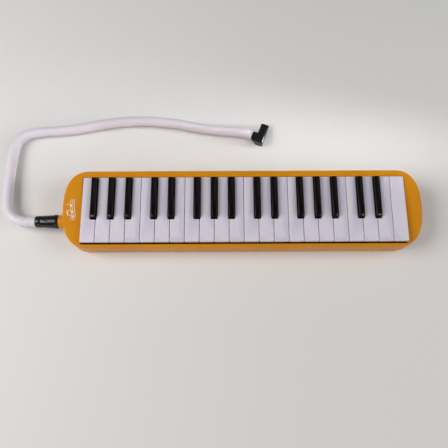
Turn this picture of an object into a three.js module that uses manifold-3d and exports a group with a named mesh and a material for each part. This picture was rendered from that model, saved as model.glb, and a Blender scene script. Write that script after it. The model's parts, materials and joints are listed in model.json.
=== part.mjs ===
// A 37-key melodica with its blowing hose, modelled as the assembly it is built from.
// Units are millimetres. +X runs along the keyboard from the low notes to the high notes,
// -Y is the player's side, +Z is up, and the origin is on the base plane under the case.
import * as THREE from "three";
import { mergeVertices } from "three/addons/utils/BufferGeometryUtils.js";
import Module from "manifold-3d";

const wasm = await Module();
wasm.setup();

// ---- Driving dimensions ----

const whitePitch = 17.6;
const whiteCount = 22;
const keyCount = 37;
const keyGap = 0.6;
const keyboardShift = 1.6;
const fit = 0.3;

const caseLength = 432.4;
const caseFront = -47;
const caseRear = 46.5;
const caseTopRear = 38;
const caseTopFront = 31;
const wall = 2.2;
const partingHeight = 16;

const whiteTop = 39;
const whiteFront = -42.4;
const whiteSkirtBottom = 28.5;
const blackTop = 44.4;
const blackFront = -13.6;
const blackWidth = 7;
const keyRear = 37.5;
const keyWall = 1.6;

const pivotY = 18;
const pivotZ = 27;
const axleRadius = 1;

const chamberBottom = 6;
const chamberTop = 14.2;
const chamberEnd = 197;
const chamberFront = -31;
const chamberRear = 39;
const chamberWall = 2;
const gasketWidth = 4;
const gasketThickness = 0.8;
const bedTop = 21;

const portY = -10.8;
const portZ = 14;
const portEnd = -225;
const socketRadius = 8;
const socketBore = 5.3;

const hoseRadius = 6.3;
const hoseBore = 4.2;
const hoseFarY = 112;
const hoseEndX = 15;
const hoseEndY = 107;
const hoseEndTurn = -0.35;
const airway = 2.4;

const strapLeft = -152;
const strapRight = -28;
const strapHalfWidth = 12.5;
const drainX = 184;

// ---- Sizes worked out from the driving dimensions ----

const caseHalfLength = caseLength / 2;
const caseMidY = (caseFront + caseRear) / 2;
const caseHalfWidth = (caseRear - caseFront) / 2;
const keyboardLeft = keyboardShift - (whiteCount * whitePitch) / 2;
const keyboardRight = keyboardShift + (whiteCount * whitePitch) / 2;
const semitonePitch = (7 * whitePitch) / 12;
const lastNote = keyCount - 1;

// Reed cells and key levers sit on an even semitone grid that meets every black key's middle.
const cellX = (note) => keyboardLeft + semitonePitch * (note + 3 / 7);

// ---- Finishes ----

const finishes = {
  orangeShell: { color: 0xcb8819, roughness: 0.42, metalness: 0 },
  whiteKey: { color: 0xe4dde4, roughness: 0.3, metalness: 0 },
  blackKey: { color: 0x19181a, roughness: 0.45, metalness: 0 },
  blackPlastic: { color: 0x161618, roughness: 0.5, metalness: 0 },
  greyPlastic: { color: 0x8d8f92, roughness: 0.55, metalness: 0 },
  brass: { color: 0xc39b4b, roughness: 0.3, metalness: 1 },
  steel: { color: 0xb9bcc0, roughness: 0.28, metalness: 1 },
  rubber: { color: 0x2a2b2d, roughness: 0.85, metalness: 0 },
  felt: { color: 0x7c2430, roughness: 1, metalness: 0 },
  webbing: { color: 0x1c1c1f, roughness: 0.95, metalness: 0 },
  hosePlastic: { color: 0xe9e3ea, roughness: 0.4, metalness: 0 },
};

// ---- Joining and cutting solids ----

function toSolid(geometry) {
  const bare = geometry.clone();
  bare.deleteAttribute("normal");
  bare.deleteAttribute("uv");
  const merged = mergeVertices(bare, 1e-4);
  return new wasm.Manifold(
    new wasm.Mesh({
      numProp: 3,
      vertProperties: new Float32Array(merged.attributes.position.array),
      triVerts: new Uint32Array(merged.index.array),
    }),
  );
}

function toGeometry(solid) {
  const mesh = solid.getMesh();
  const geometry = new THREE.BufferGeometry();
  geometry.setAttribute("position", new THREE.BufferAttribute(new Float32Array(mesh.vertProperties), 3));
  geometry.setIndex(new THREE.BufferAttribute(new Uint32Array(mesh.triVerts), 1));
  geometry.computeVertexNormals();
  return geometry;
}

function join(...geometries) {
  return toGeometry(geometries.map(toSolid).reduce((whole, next) => whole.add(next)));
}

function cut(base, ...tools) {
  return toGeometry(tools.map(toSolid).reduce((whole, tool) => whole.subtract(tool), toSolid(base)));
}

function keepInside(base, region) {
  return toGeometry(toSolid(base).intersect(toSolid(region)));
}

// ---- Basic shapes, each placed by the low and high ends it spans ----

function box([x0, x1], [y0, y1], [z0, z1]) {
  const geometry = new THREE.BoxGeometry(x1 - x0, y1 - y0, z1 - z0);
  return geometry.translate((x0 + x1) / 2, (y0 + y1) / 2, (z0 + z1) / 2);
}

function rodX(radius, [x0, x1], y, z, sides, farRadius = radius) {
  const geometry = new THREE.CylinderGeometry(farRadius, radius, x1 - x0, sides);
  return geometry.rotateZ(-Math.PI / 2).translate((x0 + x1) / 2, y, z);
}

function rodY(radius, [y0, y1], x, z, sides) {
  const geometry = new THREE.CylinderGeometry(radius, radius, y1 - y0, sides);
  return geometry.translate(x, (y0 + y1) / 2, z);
}

function rodZ(radius, [z0, z1], x, y, sides) {
  const geometry = new THREE.CylinderGeometry(radius, radius, z1 - z0, sides);
  return geometry.rotateX(Math.PI / 2).translate(x, y, (z0 + z1) / 2);
}

function outline(points) {
  return new THREE.Shape(points.map(([x, y]) => new THREE.Vector2(x, y)));
}

function plate(shape, [z0, z1]) {
  const settings = { depth: z1 - z0, bevelEnabled: false, curveSegments: 4 };
  return new THREE.ExtrudeGeometry(shape, settings).translate(0, 0, z0);
}

// A side view drawn as [y, z] points, carried along the instrument from x0 to x1.
function sideProfile(points, [x0, x1]) {
  const geometry = new THREE.ExtrudeGeometry(outline(points), { depth: x1 - x0, bevelEnabled: false });
  const axes = new THREE.Matrix4().makeBasis(
    new THREE.Vector3(0, 1, 0),
    new THREE.Vector3(0, 0, 1),
    new THREE.Vector3(1, 0, 0),
  );
  return geometry.applyMatrix4(axes).translate(x0, 0, 0);
}

function circle(radius, x, y, Kind = THREE.Shape) {
  return new Kind().absarc(x, y, radius, 0, 2 * Math.PI, false);
}

const model = new THREE.Group();

function addPart(name, geometry, finish, group = model) {
  const mesh = new THREE.Mesh(geometry, new THREE.MeshStandardMaterial(finish));
  mesh.name = name;
  group.add(mesh);
}

// ---- Case ----

const endDepth = 32;
const endFullness = 2.5;
const endSteps = 12;
const topEdge = 3.4;
const bottomEdge = 2.4;
const far = 300;
const reachAll = [-far, far];
const topSlope = (caseTopRear - caseTopFront) / (caseRear - caseFront);
const topHeight = (y) => caseTopRear - topSlope * (caseRear - y);

const screwX = 203;
const screwY = 24;
const screwPlaces = [[-screwX, -screwY], [-screwX, screwY], [screwX, -screwY], [screwX, screwY]];
const bossRadius = 4.5;
const screwRadius = 1.4;
const screwTop = 26;
const headRadius = 3;
const headPocketDepth = 3.5;

// The plan of the case: straight long sides and full, slightly bowed ends.
function caseOutline(inset) {
  const points = [];
  const power = 2 / endFullness;
  for (const side of [1, -1]) {
    for (let step = 0; step <= endSteps; step++) {
      const angle = -Math.PI / 2 + (Math.PI * step) / endSteps;
      const reach = (endDepth - inset) * Math.abs(Math.cos(angle)) ** power;
      const swing = (caseHalfWidth - inset) * Math.abs(Math.sin(angle)) ** power;
      const x = caseHalfLength - endDepth + reach;
      points.push([side * x, caseMidY + side * Math.sign(angle) * swing]);
    }
  }
  return outline(points);
}

// A block with the plan of the case whose top and bottom edges are rounded.
function caseBlock(inset, [z0, z1], edge, segments) {
  const geometry = new THREE.ExtrudeGeometry(caseOutline(inset), {
    depth: z1 - z0 - 2 * edge,
    bevelThickness: edge,
    bevelSize: edge,
    bevelOffset: -edge,
    bevelSegments: segments,
  });
  return geometry.translate(0, 0, z0 + edge);
}

// Leans the top of a block down towards the player, leaving everything at its base in place.
function leanTop(geometry, base, top) {
  const positions = geometry.attributes.position;
  for (let i = 0; i < positions.count; i++) {
    const share = Math.max(0, (positions.getZ(i) - base) / (top - base));
    const drop = topSlope * (caseRear - positions.getY(i)) * share;
    positions.setZ(i, positions.getZ(i) - drop);
  }
  return geometry;
}

function portHole() {
  return rodX(socketRadius + fit, [-far, -caseHalfLength + endDepth / 4], portY, portZ, 16);
}

function upperCase() {
  const bottom = partingHeight + fit / 2;
  const under = bottom - 2 * topEdge;
  const outer = leanTop(caseBlock(0, [under, caseTopRear], topEdge, 3), bottom, caseTopRear);
  const ceiling = caseTopRear - wall;
  const hollow = leanTop(caseBlock(wall, [under, ceiling], topEdge - wall, 1), bottom, ceiling);
  const shell = cut(keepInside(outer, box(reachAll, reachAll, [bottom, far])), hollow);
  const posts = screwPlaces.map(([x, y]) => rodZ(bossRadius, [bottom, topHeight(y) - wall / 2], x, y, 10));
  const pilotTop = screwTop + 2;
  const pilots = screwPlaces.map(([x, y]) => rodZ(screwRadius + fit, [under, pilotTop], x, y, 8));
  const sideRoom = 0.9;
  const frontRoom = 1.1;
  const rearRoom = 1;
  const keyOpening = box(
    [keyboardLeft - sideRoom, keyboardRight + sideRoom],
    [whiteFront - frontRoom, keyRear + rearRoom],
    [partingHeight + 2, far],
  );
  return cut(join(shell, ...posts), keyOpening, portHole(), ...pilots);
}

const strapRecess = 3.2;
const recessHalfWidth = strapHalfWidth + 1.5;
const drainCapRadius = 4.1;
const ribPlaces = [-168, -12, 60, 135];

function lowerCase() {
  const top = partingHeight - fit / 2;
  const above = top + 2 * bottomEdge;
  const outer = keepInside(caseBlock(0, [0, above], bottomEdge, 2), box(reachAll, reachAll, [-far, top]));
  const shell = cut(outer, caseBlock(wall, [wall, above + wall], bottomEdge / 2, 1));
  const overFloor = wall / 2;
  const recessRoof = box(
    [strapLeft - wall, strapRight + wall],
    [-recessHalfWidth - wall, recessHalfWidth + wall],
    [overFloor, strapRecess + wall],
  );
  const ribReach = [chamberFront + 3, chamberRear - 5];
  const ribs = ribPlaces.map((x) =>
    box([x - wall / 2, x + wall / 2], ribReach, [overFloor, chamberBottom - fit]),
  );
  const posts = screwPlaces.map(([x, y]) => rodZ(bossRadius, [overFloor, top], x, y, 10));
  const screwHoles = screwPlaces.map(([x, y]) => rodZ(screwRadius + fit, [-1, top + 1], x, y, 8));
  const pocketRadius = headRadius + 0.4;
  const pockets = screwPlaces.map(([x, y]) => rodZ(pocketRadius, [-1, headPocketDepth], x, y, 10));
  const recess = box([strapLeft, strapRight], [-recessHalfWidth, recessHalfWidth], [-1, strapRecess]);
  const drainHole = rodZ(drainCapRadius + fit, [-1, wall + 1], drainX, 0, 16);
  const filled = join(shell, recessRoof, ...ribs, ...posts);
  return cut(filled, recess, drainHole, portHole(), ...screwHoles, ...pockets);
}

function caseScrew([x, y]) {
  const headTop = headPocketDepth - fit;
  const headBottom = 0.9;
  const driveLong = 1.8;
  const driveHalfWidth = 0.4;
  const driveDepth = [0, headBottom + 1.1];
  const long = (middle) => [middle - driveLong, middle + driveLong];
  const narrow = (middle) => [middle - driveHalfWidth, middle + driveHalfWidth];
  const head = rodZ(headRadius, [headBottom, headTop], x, y, 10);
  const shank = rodZ(screwRadius, [headTop - 0.2, screwTop], x, y, 8);
  return cut(join(head, shank), box(long(x), narrow(y), driveDepth), box(narrow(x), long(y), driveDepth));
}

// ---- Wind chamber and reeds ----

const reedPlateTop = chamberTop + fit + gasketThickness;
const spigotZ = 10.4;
const spigotRadius = 4.1;
const spigotBore = 3;
const drainBore = 2.2;

function chamberCover() {
  const block = box([-chamberEnd, chamberEnd], [chamberFront, chamberRear], [chamberBottom, chamberTop]);
  const floorTop = chamberBottom + chamberWall;
  const hollow = box(
    [-chamberEnd + chamberWall, chamberEnd - chamberWall],
    [chamberFront + chamberWall, chamberRear - chamberWall],
    [floorTop, chamberTop + 1],
  );
  const inlet = rodX(spigotBore, [-chamberEnd - 1, -chamberEnd + chamberWall + 1], portY, spigotZ, 12);
  const drain = rodZ(drainBore, [chamberBottom - 1, floorTop + 1], drainX, 0, 12);
  return cut(block, hollow, inlet, drain);
}

function chamberGasket() {
  const height = [chamberTop + fit, reedPlateTop];
  const ring = box([-chamberEnd, chamberEnd], [chamberFront, chamberRear], height);
  const window = box(
    [-chamberEnd + gasketWidth, chamberEnd - gasketWidth],
    [chamberFront + gasketWidth, chamberRear - gasketWidth],
    [0, far],
  );
  return cut(ring, window);
}

const reedFront = -22;
const longestReed = 46;
const shortestReed = 15;
const reedSlotHalf = 1.7;
const reedTongueHalf = 1.2;
const reedLength = (note) => longestReed * (shortestReed / longestReed) ** (note / lastNote);
const lowReedCount = 19;
const plateSplit = (cellX(lowReedCount - 1) + cellX(lowReedCount)) / 2;

// Each reed is a tongue left standing in its slot, free on three sides.
function reedPlate(first, last, reachX) {
  const reachZ = [chamberTop + fit, reedPlateTop];
  const reachY = [chamberFront + gasketWidth + fit, chamberRear - gasketWidth - fit];
  const slots = [];
  const tongues = [];
  for (let note = first; note <= last; note++) {
    const x = cellX(note);
    const end = reedFront + reedLength(note);
    const tip = end - (reedSlotHalf - reedTongueHalf);
    slots.push(box([x - reedSlotHalf, x + reedSlotHalf], [reedFront, end], [0, far]));
    tongues.push(box([x - reedTongueHalf, x + reedTongueHalf], [reedFront - 1, tip], reachZ));
  }
  return join(cut(box(reachX, reachY, reachZ), ...slots), ...tongues);
}

// ---- Key bed ----

const bedBottom = reedPlateTop + fit;
const bedEnd = 198;
const bedFront = -39.2;
const bedRear = 38.2;
const cellHalfWidth = 4.45;
const cellRoof = 1.6;
const padFront = 29;
const padRear = 37;
const padHalfWidth = 4;
const padBottom = bedTop + fit;
const padThickness = 2.4;
const ventMargin = 1.5;
const cradleHalfWidth = 1.2;
const cradlesAfterNotes = [5, 11, 17, 23, 29];

// An open cradle that the key axle is pressed into from above.
function axleCradle(x) {
  const slot = axleRadius + fit;
  const outer = slot + 2.2;
  const top = pivotZ + 0.6;
  const foot = bedTop - 0.5;
  return sideProfile(
    [
      [pivotY - outer, foot],
      [pivotY + outer, foot],
      [pivotY + outer, top],
      [pivotY + slot, top],
      [pivotY + slot, pivotZ - slot],
      [pivotY - slot, pivotZ - slot],
      [pivotY - slot, top],
      [pivotY - outer, top],
    ],
    [x - cradleHalfWidth, x + cradleHalfWidth],
  );
}

function keyBed() {
  const block = box([-bedEnd, bedEnd], [bedFront, bedRear], [bedBottom, bedTop]);
  const endCradles = [-bedEnd + cradleHalfWidth, bedEnd - cradleHalfWidth];
  const middleCradles = cradlesAfterNotes.map((note) => cellX(note) + semitonePitch / 2);
  const bed = join(block, ...[...endCradles, ...middleCradles].map(axleCradle));
  const ventHalfWidth = padHalfWidth - ventMargin;
  const hollows = [];
  for (let note = 0; note < keyCount; note++) {
    const x = cellX(note);
    const cellReach = [x - cellHalfWidth, x + cellHalfWidth];
    const ventReach = [x - ventHalfWidth, x + ventHalfWidth];
    hollows.push(box(cellReach, [reedFront - 3, padRear - 1], [0, bedTop - cellRoof]));
    hollows.push(box(ventReach, [padFront + ventMargin, padRear - ventMargin], [0, far]));
  }
  return cut(bed, ...hollows);
}

const stripEnds = [keyboardLeft + 1, keyboardRight - 1];

function keyStopFelt() {
  const feltWidth = 6;
  const feltThickness = 1.6;
  const bottom = bedTop + fit;
  return box(stripEnds, [bedFront, bedFront + feltWidth], [bottom, bottom + feltThickness]);
}

// One sheet of spring steel with a bent-up finger under each key lever.
function springComb() {
  const back = -24;
  const bend = -16;
  const tip = 4.5;
  const rise = 2.8;
  const thickness = 0.6;
  const fingerHalf = 1.5;
  const points = [[stripEnds[0], back], [stripEnds[1], back], [stripEnds[1], bend]];
  for (let note = lastNote; note >= 0; note--) {
    const right = cellX(note) + fingerHalf;
    const left = cellX(note) - fingerHalf;
    points.push([right, bend], [right, tip], [left, tip], [left, bend]);
  }
  points.push([stripEnds[0], bend]);
  const comb = plate(outline(points), [bedTop + fit, bedTop + fit + thickness]);
  const positions = comb.attributes.position;
  for (let i = 0; i < positions.count; i++) {
    if (positions.getY(i) > bend + 1) positions.setZ(i, positions.getZ(i) + rise);
  }
  return comb;
}

// ---- Keys ----

const leverHalfWidth = 1.5;
const leverFront = -12;
const leverFrontDepth = 3;
const padSink = 1;
const notchSide = blackWidth / 2 + keyGap;
const notchFront = blackFront - 1.5;
const noteNames = ["F", "Fs", "G", "Gs", "A", "As", "B", "C", "Cs", "D", "Ds", "E"];
const isBlack = (note) => note >= 0 && note <= lastNote && noteNames[note % 12].endsWith("s");

// The web under a key: it snaps down over the axle and carries the pad over the cell's vent.
function lever(note, capUnderside) {
  const x = cellX(note);
  const bearing = axleRadius + fit;
  const crown = 0.75 * bearing;
  const bottom = pivotZ - 2 * bearing;
  const inCap = capUnderside + keyWall / 4;
  const web = sideProfile(
    [
      [leverFront, inCap],
      [leverFront, capUnderside - leverFrontDepth],
      [pivotY - 6, bottom],
      [pivotY - bearing, bottom],
      [pivotY - bearing, pivotZ],
      [pivotY - crown, pivotZ + crown],
      [pivotY + crown, pivotZ + crown],
      [pivotY + bearing, pivotZ],
      [pivotY + bearing, bottom],
      [padFront, bottom],
      [padFront, padBottom + padSink],
      [padRear, padBottom + padSink],
      [padRear, inCap],
    ],
    [x - leverHalfWidth, x + leverHalfWidth],
  );
  const padReach = [x - padHalfWidth, x + padHalfWidth];
  return [web, box(padReach, [padFront, padRear], [padBottom, padBottom + padThickness])];
}

// The plan of a white key, narrowed beside each black neighbour.
function whiteOutline(note, white, inset) {
  const left = keyboardLeft + white * whitePitch + keyGap / 2 + inset;
  const right = keyboardLeft + (white + 1) * whitePitch - keyGap / 2 - inset;
  const front = whiteFront + inset;
  const rear = keyRear - inset;
  const shoulder = notchFront - inset;
  const points = [[left, front], [right, front]];
  if (isBlack(note + 1)) {
    const side = cellX(note + 1) - notchSide - inset;
    points.push([right, shoulder], [side, shoulder], [side, rear]);
  } else {
    points.push([right, rear]);
  }
  if (isBlack(note - 1)) {
    const side = cellX(note - 1) + notchSide + inset;
    points.push([side, rear], [side, shoulder], [left, shoulder]);
  } else {
    points.push([left, rear]);
  }
  return outline(points);
}

function whiteKey(note, white) {
  const underside = whiteTop - keyWall;
  const cap = plate(whiteOutline(note, white, 0), [whiteSkirtBottom, whiteTop]);
  const hollow = plate(whiteOutline(note, white, keyWall), [0, underside]);
  return join(cut(cap, hollow), ...lever(note, underside));
}

// Black keys have a sloping nose, lean in at the rear and stand clear above the white keys.
function blackKey(note) {
  const x = cellX(note);
  const bottom = whiteSkirtBottom + 1.5;
  const half = blackWidth / 2;
  const noseRun = 3.2;
  const noseDrop = 2.6;
  const noseLean = 0.5;
  const rearLean = 1.5;
  const cap = sideProfile(
    [
      [blackFront, bottom],
      [keyRear, bottom],
      [keyRear, whiteTop],
      [keyRear - rearLean, blackTop],
      [blackFront + noseRun, blackTop],
      [blackFront + noseLean, blackTop - noseDrop],
    ],
    [x - half, x + half],
  );
  const underside = blackTop - noseDrop - keyWall;
  const inner = half - keyWall;
  const innerFront = blackFront + keyWall + noseLean;
  const hollow = box([x - inner, x + inner], [innerFront, keyRear - keyWall], [0, underside]);
  return join(cut(cap, hollow), ...lever(note, underside));
}

// Octave numbers step up at each C, five semitones below each F.
function noteLabel(note) {
  const lowestOctave = 3;
  return `${noteNames[note % 12]}${lowestOctave + Math.floor((note + 5) / 12)}`;
}

function addKeys() {
  let white = 0;
  for (let note = 0; note < keyCount; note++) {
    if (isBlack(note)) {
      addPart(`black_key_${noteLabel(note)}`, blackKey(note), finishes.blackKey);
    } else {
      addPart(`white_key_${noteLabel(note)}`, whiteKey(note, white), finishes.whiteKey);
      white += 1;
    }
  }
}

// ---- Blow socket and hose plug ----

const flangeFace = -211.2;
const flangeThickness = 2.4;
const flangeRadius = 10.5;
const nippleLength = 10;
const barrelLength = 28;
const barrelRadius = 8.4;
const barrelHoseRadius = 7.1;
const rimHeight = 0.5;
const rimWidth = 2;
const rimSetBack = 2.5;
const barbLength = 7;
const barbRadius = hoseBore - 0.8;
const plugInner = portEnd - fit;
const plugOuter = plugInner - barrelLength;

// The socket's flange is held inside the case, and its spigot leads air into the wind chamber.
function blowSocket() {
  const flangeBack = flangeFace + flangeThickness;
  const spigotEnd = -chamberEnd - fit;
  const barrel = rodX(socketRadius, [portEnd, flangeFace + 1], portY, portZ, 16);
  const flange = rodX(flangeRadius, [flangeFace, flangeBack], portY, portZ, 12);
  const spigot = rodX(spigotRadius, [flangeBack - 1, spigotEnd], portY, spigotZ, 12);
  const bore = rodX(socketBore, [portEnd - 1, flangeFace + 1], portY, portZ, 12);
  const passage = rodX(spigotBore, [flangeFace - 1, spigotEnd + 1], portY, spigotZ, 12);
  return cut(join(barrel, flange, spigot), bore, passage);
}

// A nipple that pushes into the socket, a tapered barrel to hold, and a barb inside the hose.
function hosePlug() {
  const rimReach = [plugInner - rimSetBack - rimWidth, plugInner - rimSetBack];
  const nipple = rodX(socketBore - fit, [plugInner - 1, portEnd + nippleLength], portY, portZ, 12);
  const barrel = rodX(barrelHoseRadius, [plugOuter, plugInner], portY, portZ, 16, barrelRadius);
  const rim = rodX(barrelRadius + rimHeight, rimReach, portY, portZ, 16);
  const barb = rodX(barbRadius, [plugOuter - barbLength, plugOuter + 1], portY, portZ, 10);
  const bore = rodX(airway, [plugOuter - barbLength - 1, portEnd + nippleLength + 1], portY, portZ, 8);
  return cut(join(nipple, barrel, rim, barb), bore);
}

// ---- Hose ----

const tableHeight = hoseRadius + fit;
const bendRadius = 27;
const hoseStart = plugOuter - fit;
const hoseBendX = hoseStart - 12;
const straightCuff = 8;
const archHeight = 17;
const archShares = [0.16, 0.32, 0.48, 0.64, 0.8];

// The hose leaves the port sideways, turns back behind the case, runs along the table in a
// low arch and ends pointing a little towards the player.
function hosePath() {
  const places = [];
  const add = (x, y, z) => places.push(new THREE.Vector3(x, y, z));
  const bendSteps = 3;
  const addBend = (centreY, from, fromZ, toZ) => {
    for (let step = 0; step <= bendSteps; step++) {
      const share = step / bendSteps;
      const angle = from + (Math.PI / 2) * share;
      const x = hoseBendX - bendRadius * Math.sin(angle);
      add(x, centreY - bendRadius * Math.cos(angle), fromZ + (toZ - fromZ) * share);
    }
  };
  const midHeight = (portZ + tableHeight) / 2;
  const nearTable = tableHeight + 0.1 * (portZ - tableHeight);
  add(hoseStart, portY, portZ);
  add(hoseStart - straightCuff, portY, portZ);
  addBend(portY + bendRadius, 0, portZ, midHeight);
  addBend(hoseFarY - bendRadius, Math.PI / 2, nearTable, tableHeight);
  const cuffX = hoseEndX - straightCuff * Math.cos(hoseEndTurn);
  const cuffY = hoseEndY - straightCuff * Math.sin(hoseEndTurn);
  const run = cuffX - hoseBendX;
  for (const share of archShares) {
    const level = hoseFarY + (cuffY - hoseFarY) * share;
    add(hoseBendX + run * share, level + archHeight * Math.sin(Math.PI * share) ** 2, tableHeight);
  }
  add(cuffX, cuffY, tableHeight);
  add(hoseEndX, hoseEndY, tableHeight);
  return new THREE.CatmullRomCurve3(places, false, "centripetal");
}

function hose() {
  const ring = circle(hoseRadius, 0, 0);
  ring.holes.push(circle(hoseBore, 0, 0, THREE.Path));
  return new THREE.ExtrudeGeometry(ring, {
    steps: 36,
    curveSegments: 5,
    bevelEnabled: false,
    extrudePath: hosePath(),
  });
}

// ---- Mouthpiece, drawn with the hose's end at the origin and the hose arriving along +X ----

const neckRadius = 5.7;
const elbowHalf = 5.7;
const elbowX = 11.6;
const elbowFront = -9;
const elbowRear = 4.6;
const elbowBore = 3.8;
const elbowCorner = 1.8;
const webEdge = 0.6;
const tipHalf = 5.4;
const tipCorner = 1.6;
const tipLength = 14.7;
const tipFoot = 2;
const tipThickness = 4.6;
const tipSpigot = 4.5;
const slotHalfWidth = 3;
const slotHalfHeight = 1;

// A bar along Y whose square section has rounded corners.
function squareBarY(half, corner, [y0, y1], x) {
  const middle = half - corner;
  const points = [];
  for (const [quarter, [sideX, sideZ]] of [[1, 1], [-1, 1], [-1, -1], [1, -1]].entries()) {
    for (let step = 0; step <= 3; step++) {
      const angle = (Math.PI / 2) * (quarter + step / 3);
      points.push([x + sideX * middle + corner * Math.cos(angle), sideZ * middle + corner * Math.sin(angle)]);
    }
  }
  return plate(outline(points), [-y1, -y0]).rotateX(Math.PI / 2);
}

// The hose's neck runs into the side of a bar that is closed at the player's end. A slanted
// web fills the corner between the two.
function mouthpieceElbow() {
  const bar = squareBarY(elbowHalf, elbowCorner, [elbowFront, elbowRear], elbowX);
  const barSide = elbowX - elbowHalf;
  const neck = rodX(neckRadius, [fit, barSide + fit / 2], 0, 0, 16);
  const webTop = 1 - neckRadius;
  const web = plate(
    outline([[fit, webTop], [fit, webTop - webEdge], [barSide, elbowFront + webEdge], [barSide + 1, webTop]]),
    [-neckRadius / 2, neckRadius / 2],
  );
  const barb = rodX(barbRadius, [-barbLength, fit + 1], 0, 0, 10);
  const bore = rodY(elbowBore, [elbowFront + wall, elbowRear + 1], elbowX, 0, 12);
  const airPath = rodX(airway, [-barbLength - 1, elbowX], 0, 0, 8);
  return cut(join(bar, neck, web, barb), bore, airPath);
}

// The part held between the lips: square where it meets the elbow and flattened at its end.
function mouthpieceTip() {
  const base = elbowRear + fit;
  const end = base + tipLength;
  const taper = sideProfile(
    [
      [base, -tipHalf],
      [base + tipFoot, -tipHalf],
      [end, -tipThickness / 2],
      [end, tipThickness / 2],
      [base + tipFoot, tipHalf],
      [base, tipHalf],
    ],
    [elbowX - tipHalf, elbowX + tipHalf],
  );
  const blade = keepInside(taper, squareBarY(tipHalf, tipCorner, [base, end], elbowX));
  const spigotStart = elbowRear - tipSpigot;
  const spigot = rodY(elbowBore - fit, [spigotStart, base + 1], elbowX, 0, 12);
  const slotStart = base + tipFoot + 1;
  const slotReach = [elbowX - slotHalfWidth, elbowX + slotHalfWidth];
  const slot = box(slotReach, [slotStart, end + 1], [-slotHalfHeight, slotHalfHeight]);
  const throat = rodY(airway, [spigotStart - 1, slotStart + 1], elbowX, 0, 8);
  return cut(join(blade, spigot), slot, throat);
}

const mouthpiece = new THREE.Group();
mouthpiece.position.set(hoseEndX, hoseEndY, tableHeight);
mouthpiece.rotation.z = hoseEndTurn;
model.add(mouthpiece);

// ---- Drain valve ----

const drainCapBottom = 0.6;
const drainCapTop = 2;
const drainStemRadius = 1.5;
const sealBottom = chamberBottom + chamberWall + fit;
const sealTop = sealBottom + 1;

// Pressing the cap lifts the seal off the chamber floor and lets moisture out.
function drainButton() {
  const headBottom = sealTop + fit;
  const headTop = headBottom + 0.8;
  const cap = rodZ(drainCapRadius, [drainCapBottom, drainCapTop], drainX, 0, 16);
  const stem = rodZ(drainStemRadius, [drainCapTop - 0.5, headBottom + 0.4], drainX, 0, 8);
  const head = rodZ(drainBore + 0.4, [headBottom, headTop], drainX, 0, 10);
  return join(cap, stem, head);
}

function drainSeal() {
  const ring = circle(drainBore + 1.6, drainX, 0);
  ring.holes.push(circle(drainStemRadius + fit, drainX, 0, THREE.Path));
  return plate(ring, [sealBottom, sealTop]);
}

class Helix extends THREE.Curve {
  constructor(radius, bottom, height, turns) {
    super();
    Object.assign(this, { radius, bottom, height, turns });
  }

  getPoint(share, target = new THREE.Vector3()) {
    const angle = 2 * Math.PI * this.turns * share;
    const x = drainX + this.radius * Math.cos(angle);
    return target.set(x, this.radius * Math.sin(angle), this.bottom + this.height * share);
  }
}

function drainSpring() {
  const wire = 0.28;
  const bottom = drainCapTop + fit + wire;
  const top = chamberBottom - fit - wire;
  return new THREE.ExtrudeGeometry(circle(wire, 0, 0), {
    steps: 24,
    curveSegments: 2,
    bevelEnabled: false,
    extrudePath: new Helix(2.6, bottom, top - bottom, 3),
  });
}

// ---- Hand strap ----

function handStrap() {
  const endRoom = 0.8;
  const thickness = 1.5;
  const bottom = 1.1;
  return box(
    [strapLeft + endRoom, strapRight - endRoom],
    [-strapHalfWidth, strapHalfWidth],
    [bottom, bottom + thickness],
  );
}

// ---- Assembly ----

addPart("upper_case", upperCase(), finishes.orangeShell);
addPart("lower_case", lowerCase(), finishes.orangeShell);
addPart("key_bed", keyBed(), finishes.greyPlastic);
addPart("chamber_cover", chamberCover(), finishes.greyPlastic);
addPart("chamber_gasket", chamberGasket(), finishes.rubber);
const plateEnd = chamberEnd - gasketWidth - fit;
const lowPlate = reedPlate(0, lowReedCount - 1, [-plateEnd, plateSplit - fit / 2]);
const highPlate = reedPlate(lowReedCount, lastNote, [plateSplit + fit / 2, plateEnd]);
addPart("reed_plate_low", lowPlate, finishes.brass);
addPart("reed_plate_high", highPlate, finishes.brass);
addPart("key_axle", rodX(axleRadius, [-bedEnd, bedEnd], pivotY, pivotZ, 8), finishes.steel);
addPart("spring_comb", springComb(), finishes.steel);
addPart("key_stop_felt", keyStopFelt(), finishes.felt);
addPart("blow_socket", blowSocket(), finishes.orangeShell);
addPart("hose_plug", hosePlug(), finishes.blackPlastic);
addPart("hose", hose(), finishes.hosePlastic);
addPart("mouthpiece_elbow", mouthpieceElbow(), finishes.blackPlastic, mouthpiece);
addPart("mouthpiece_tip", mouthpieceTip(), finishes.blackPlastic, mouthpiece);
addPart("drain_button", drainButton(), finishes.blackPlastic);
addPart("drain_seal", drainSeal(), finishes.rubber);
addPart("drain_spring", drainSpring(), finishes.steel);
addPart("hand_strap", handStrap(), finishes.webbing);
screwPlaces.forEach((place, i) => addPart(`case_screw_${i + 1}`, caseScrew(place), finishes.steel));
addKeys();

export default model;
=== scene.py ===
"""Looks for the melodica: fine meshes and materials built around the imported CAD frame.

Lengths are in metres, in the frame's own axes: +X towards the high notes, -Y towards the
player, +Z up. Positions come from the boxes of the CAD nodes.
"""
import json
import math

import bmesh
import bpy
from mathutils import Matrix, Vector


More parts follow.
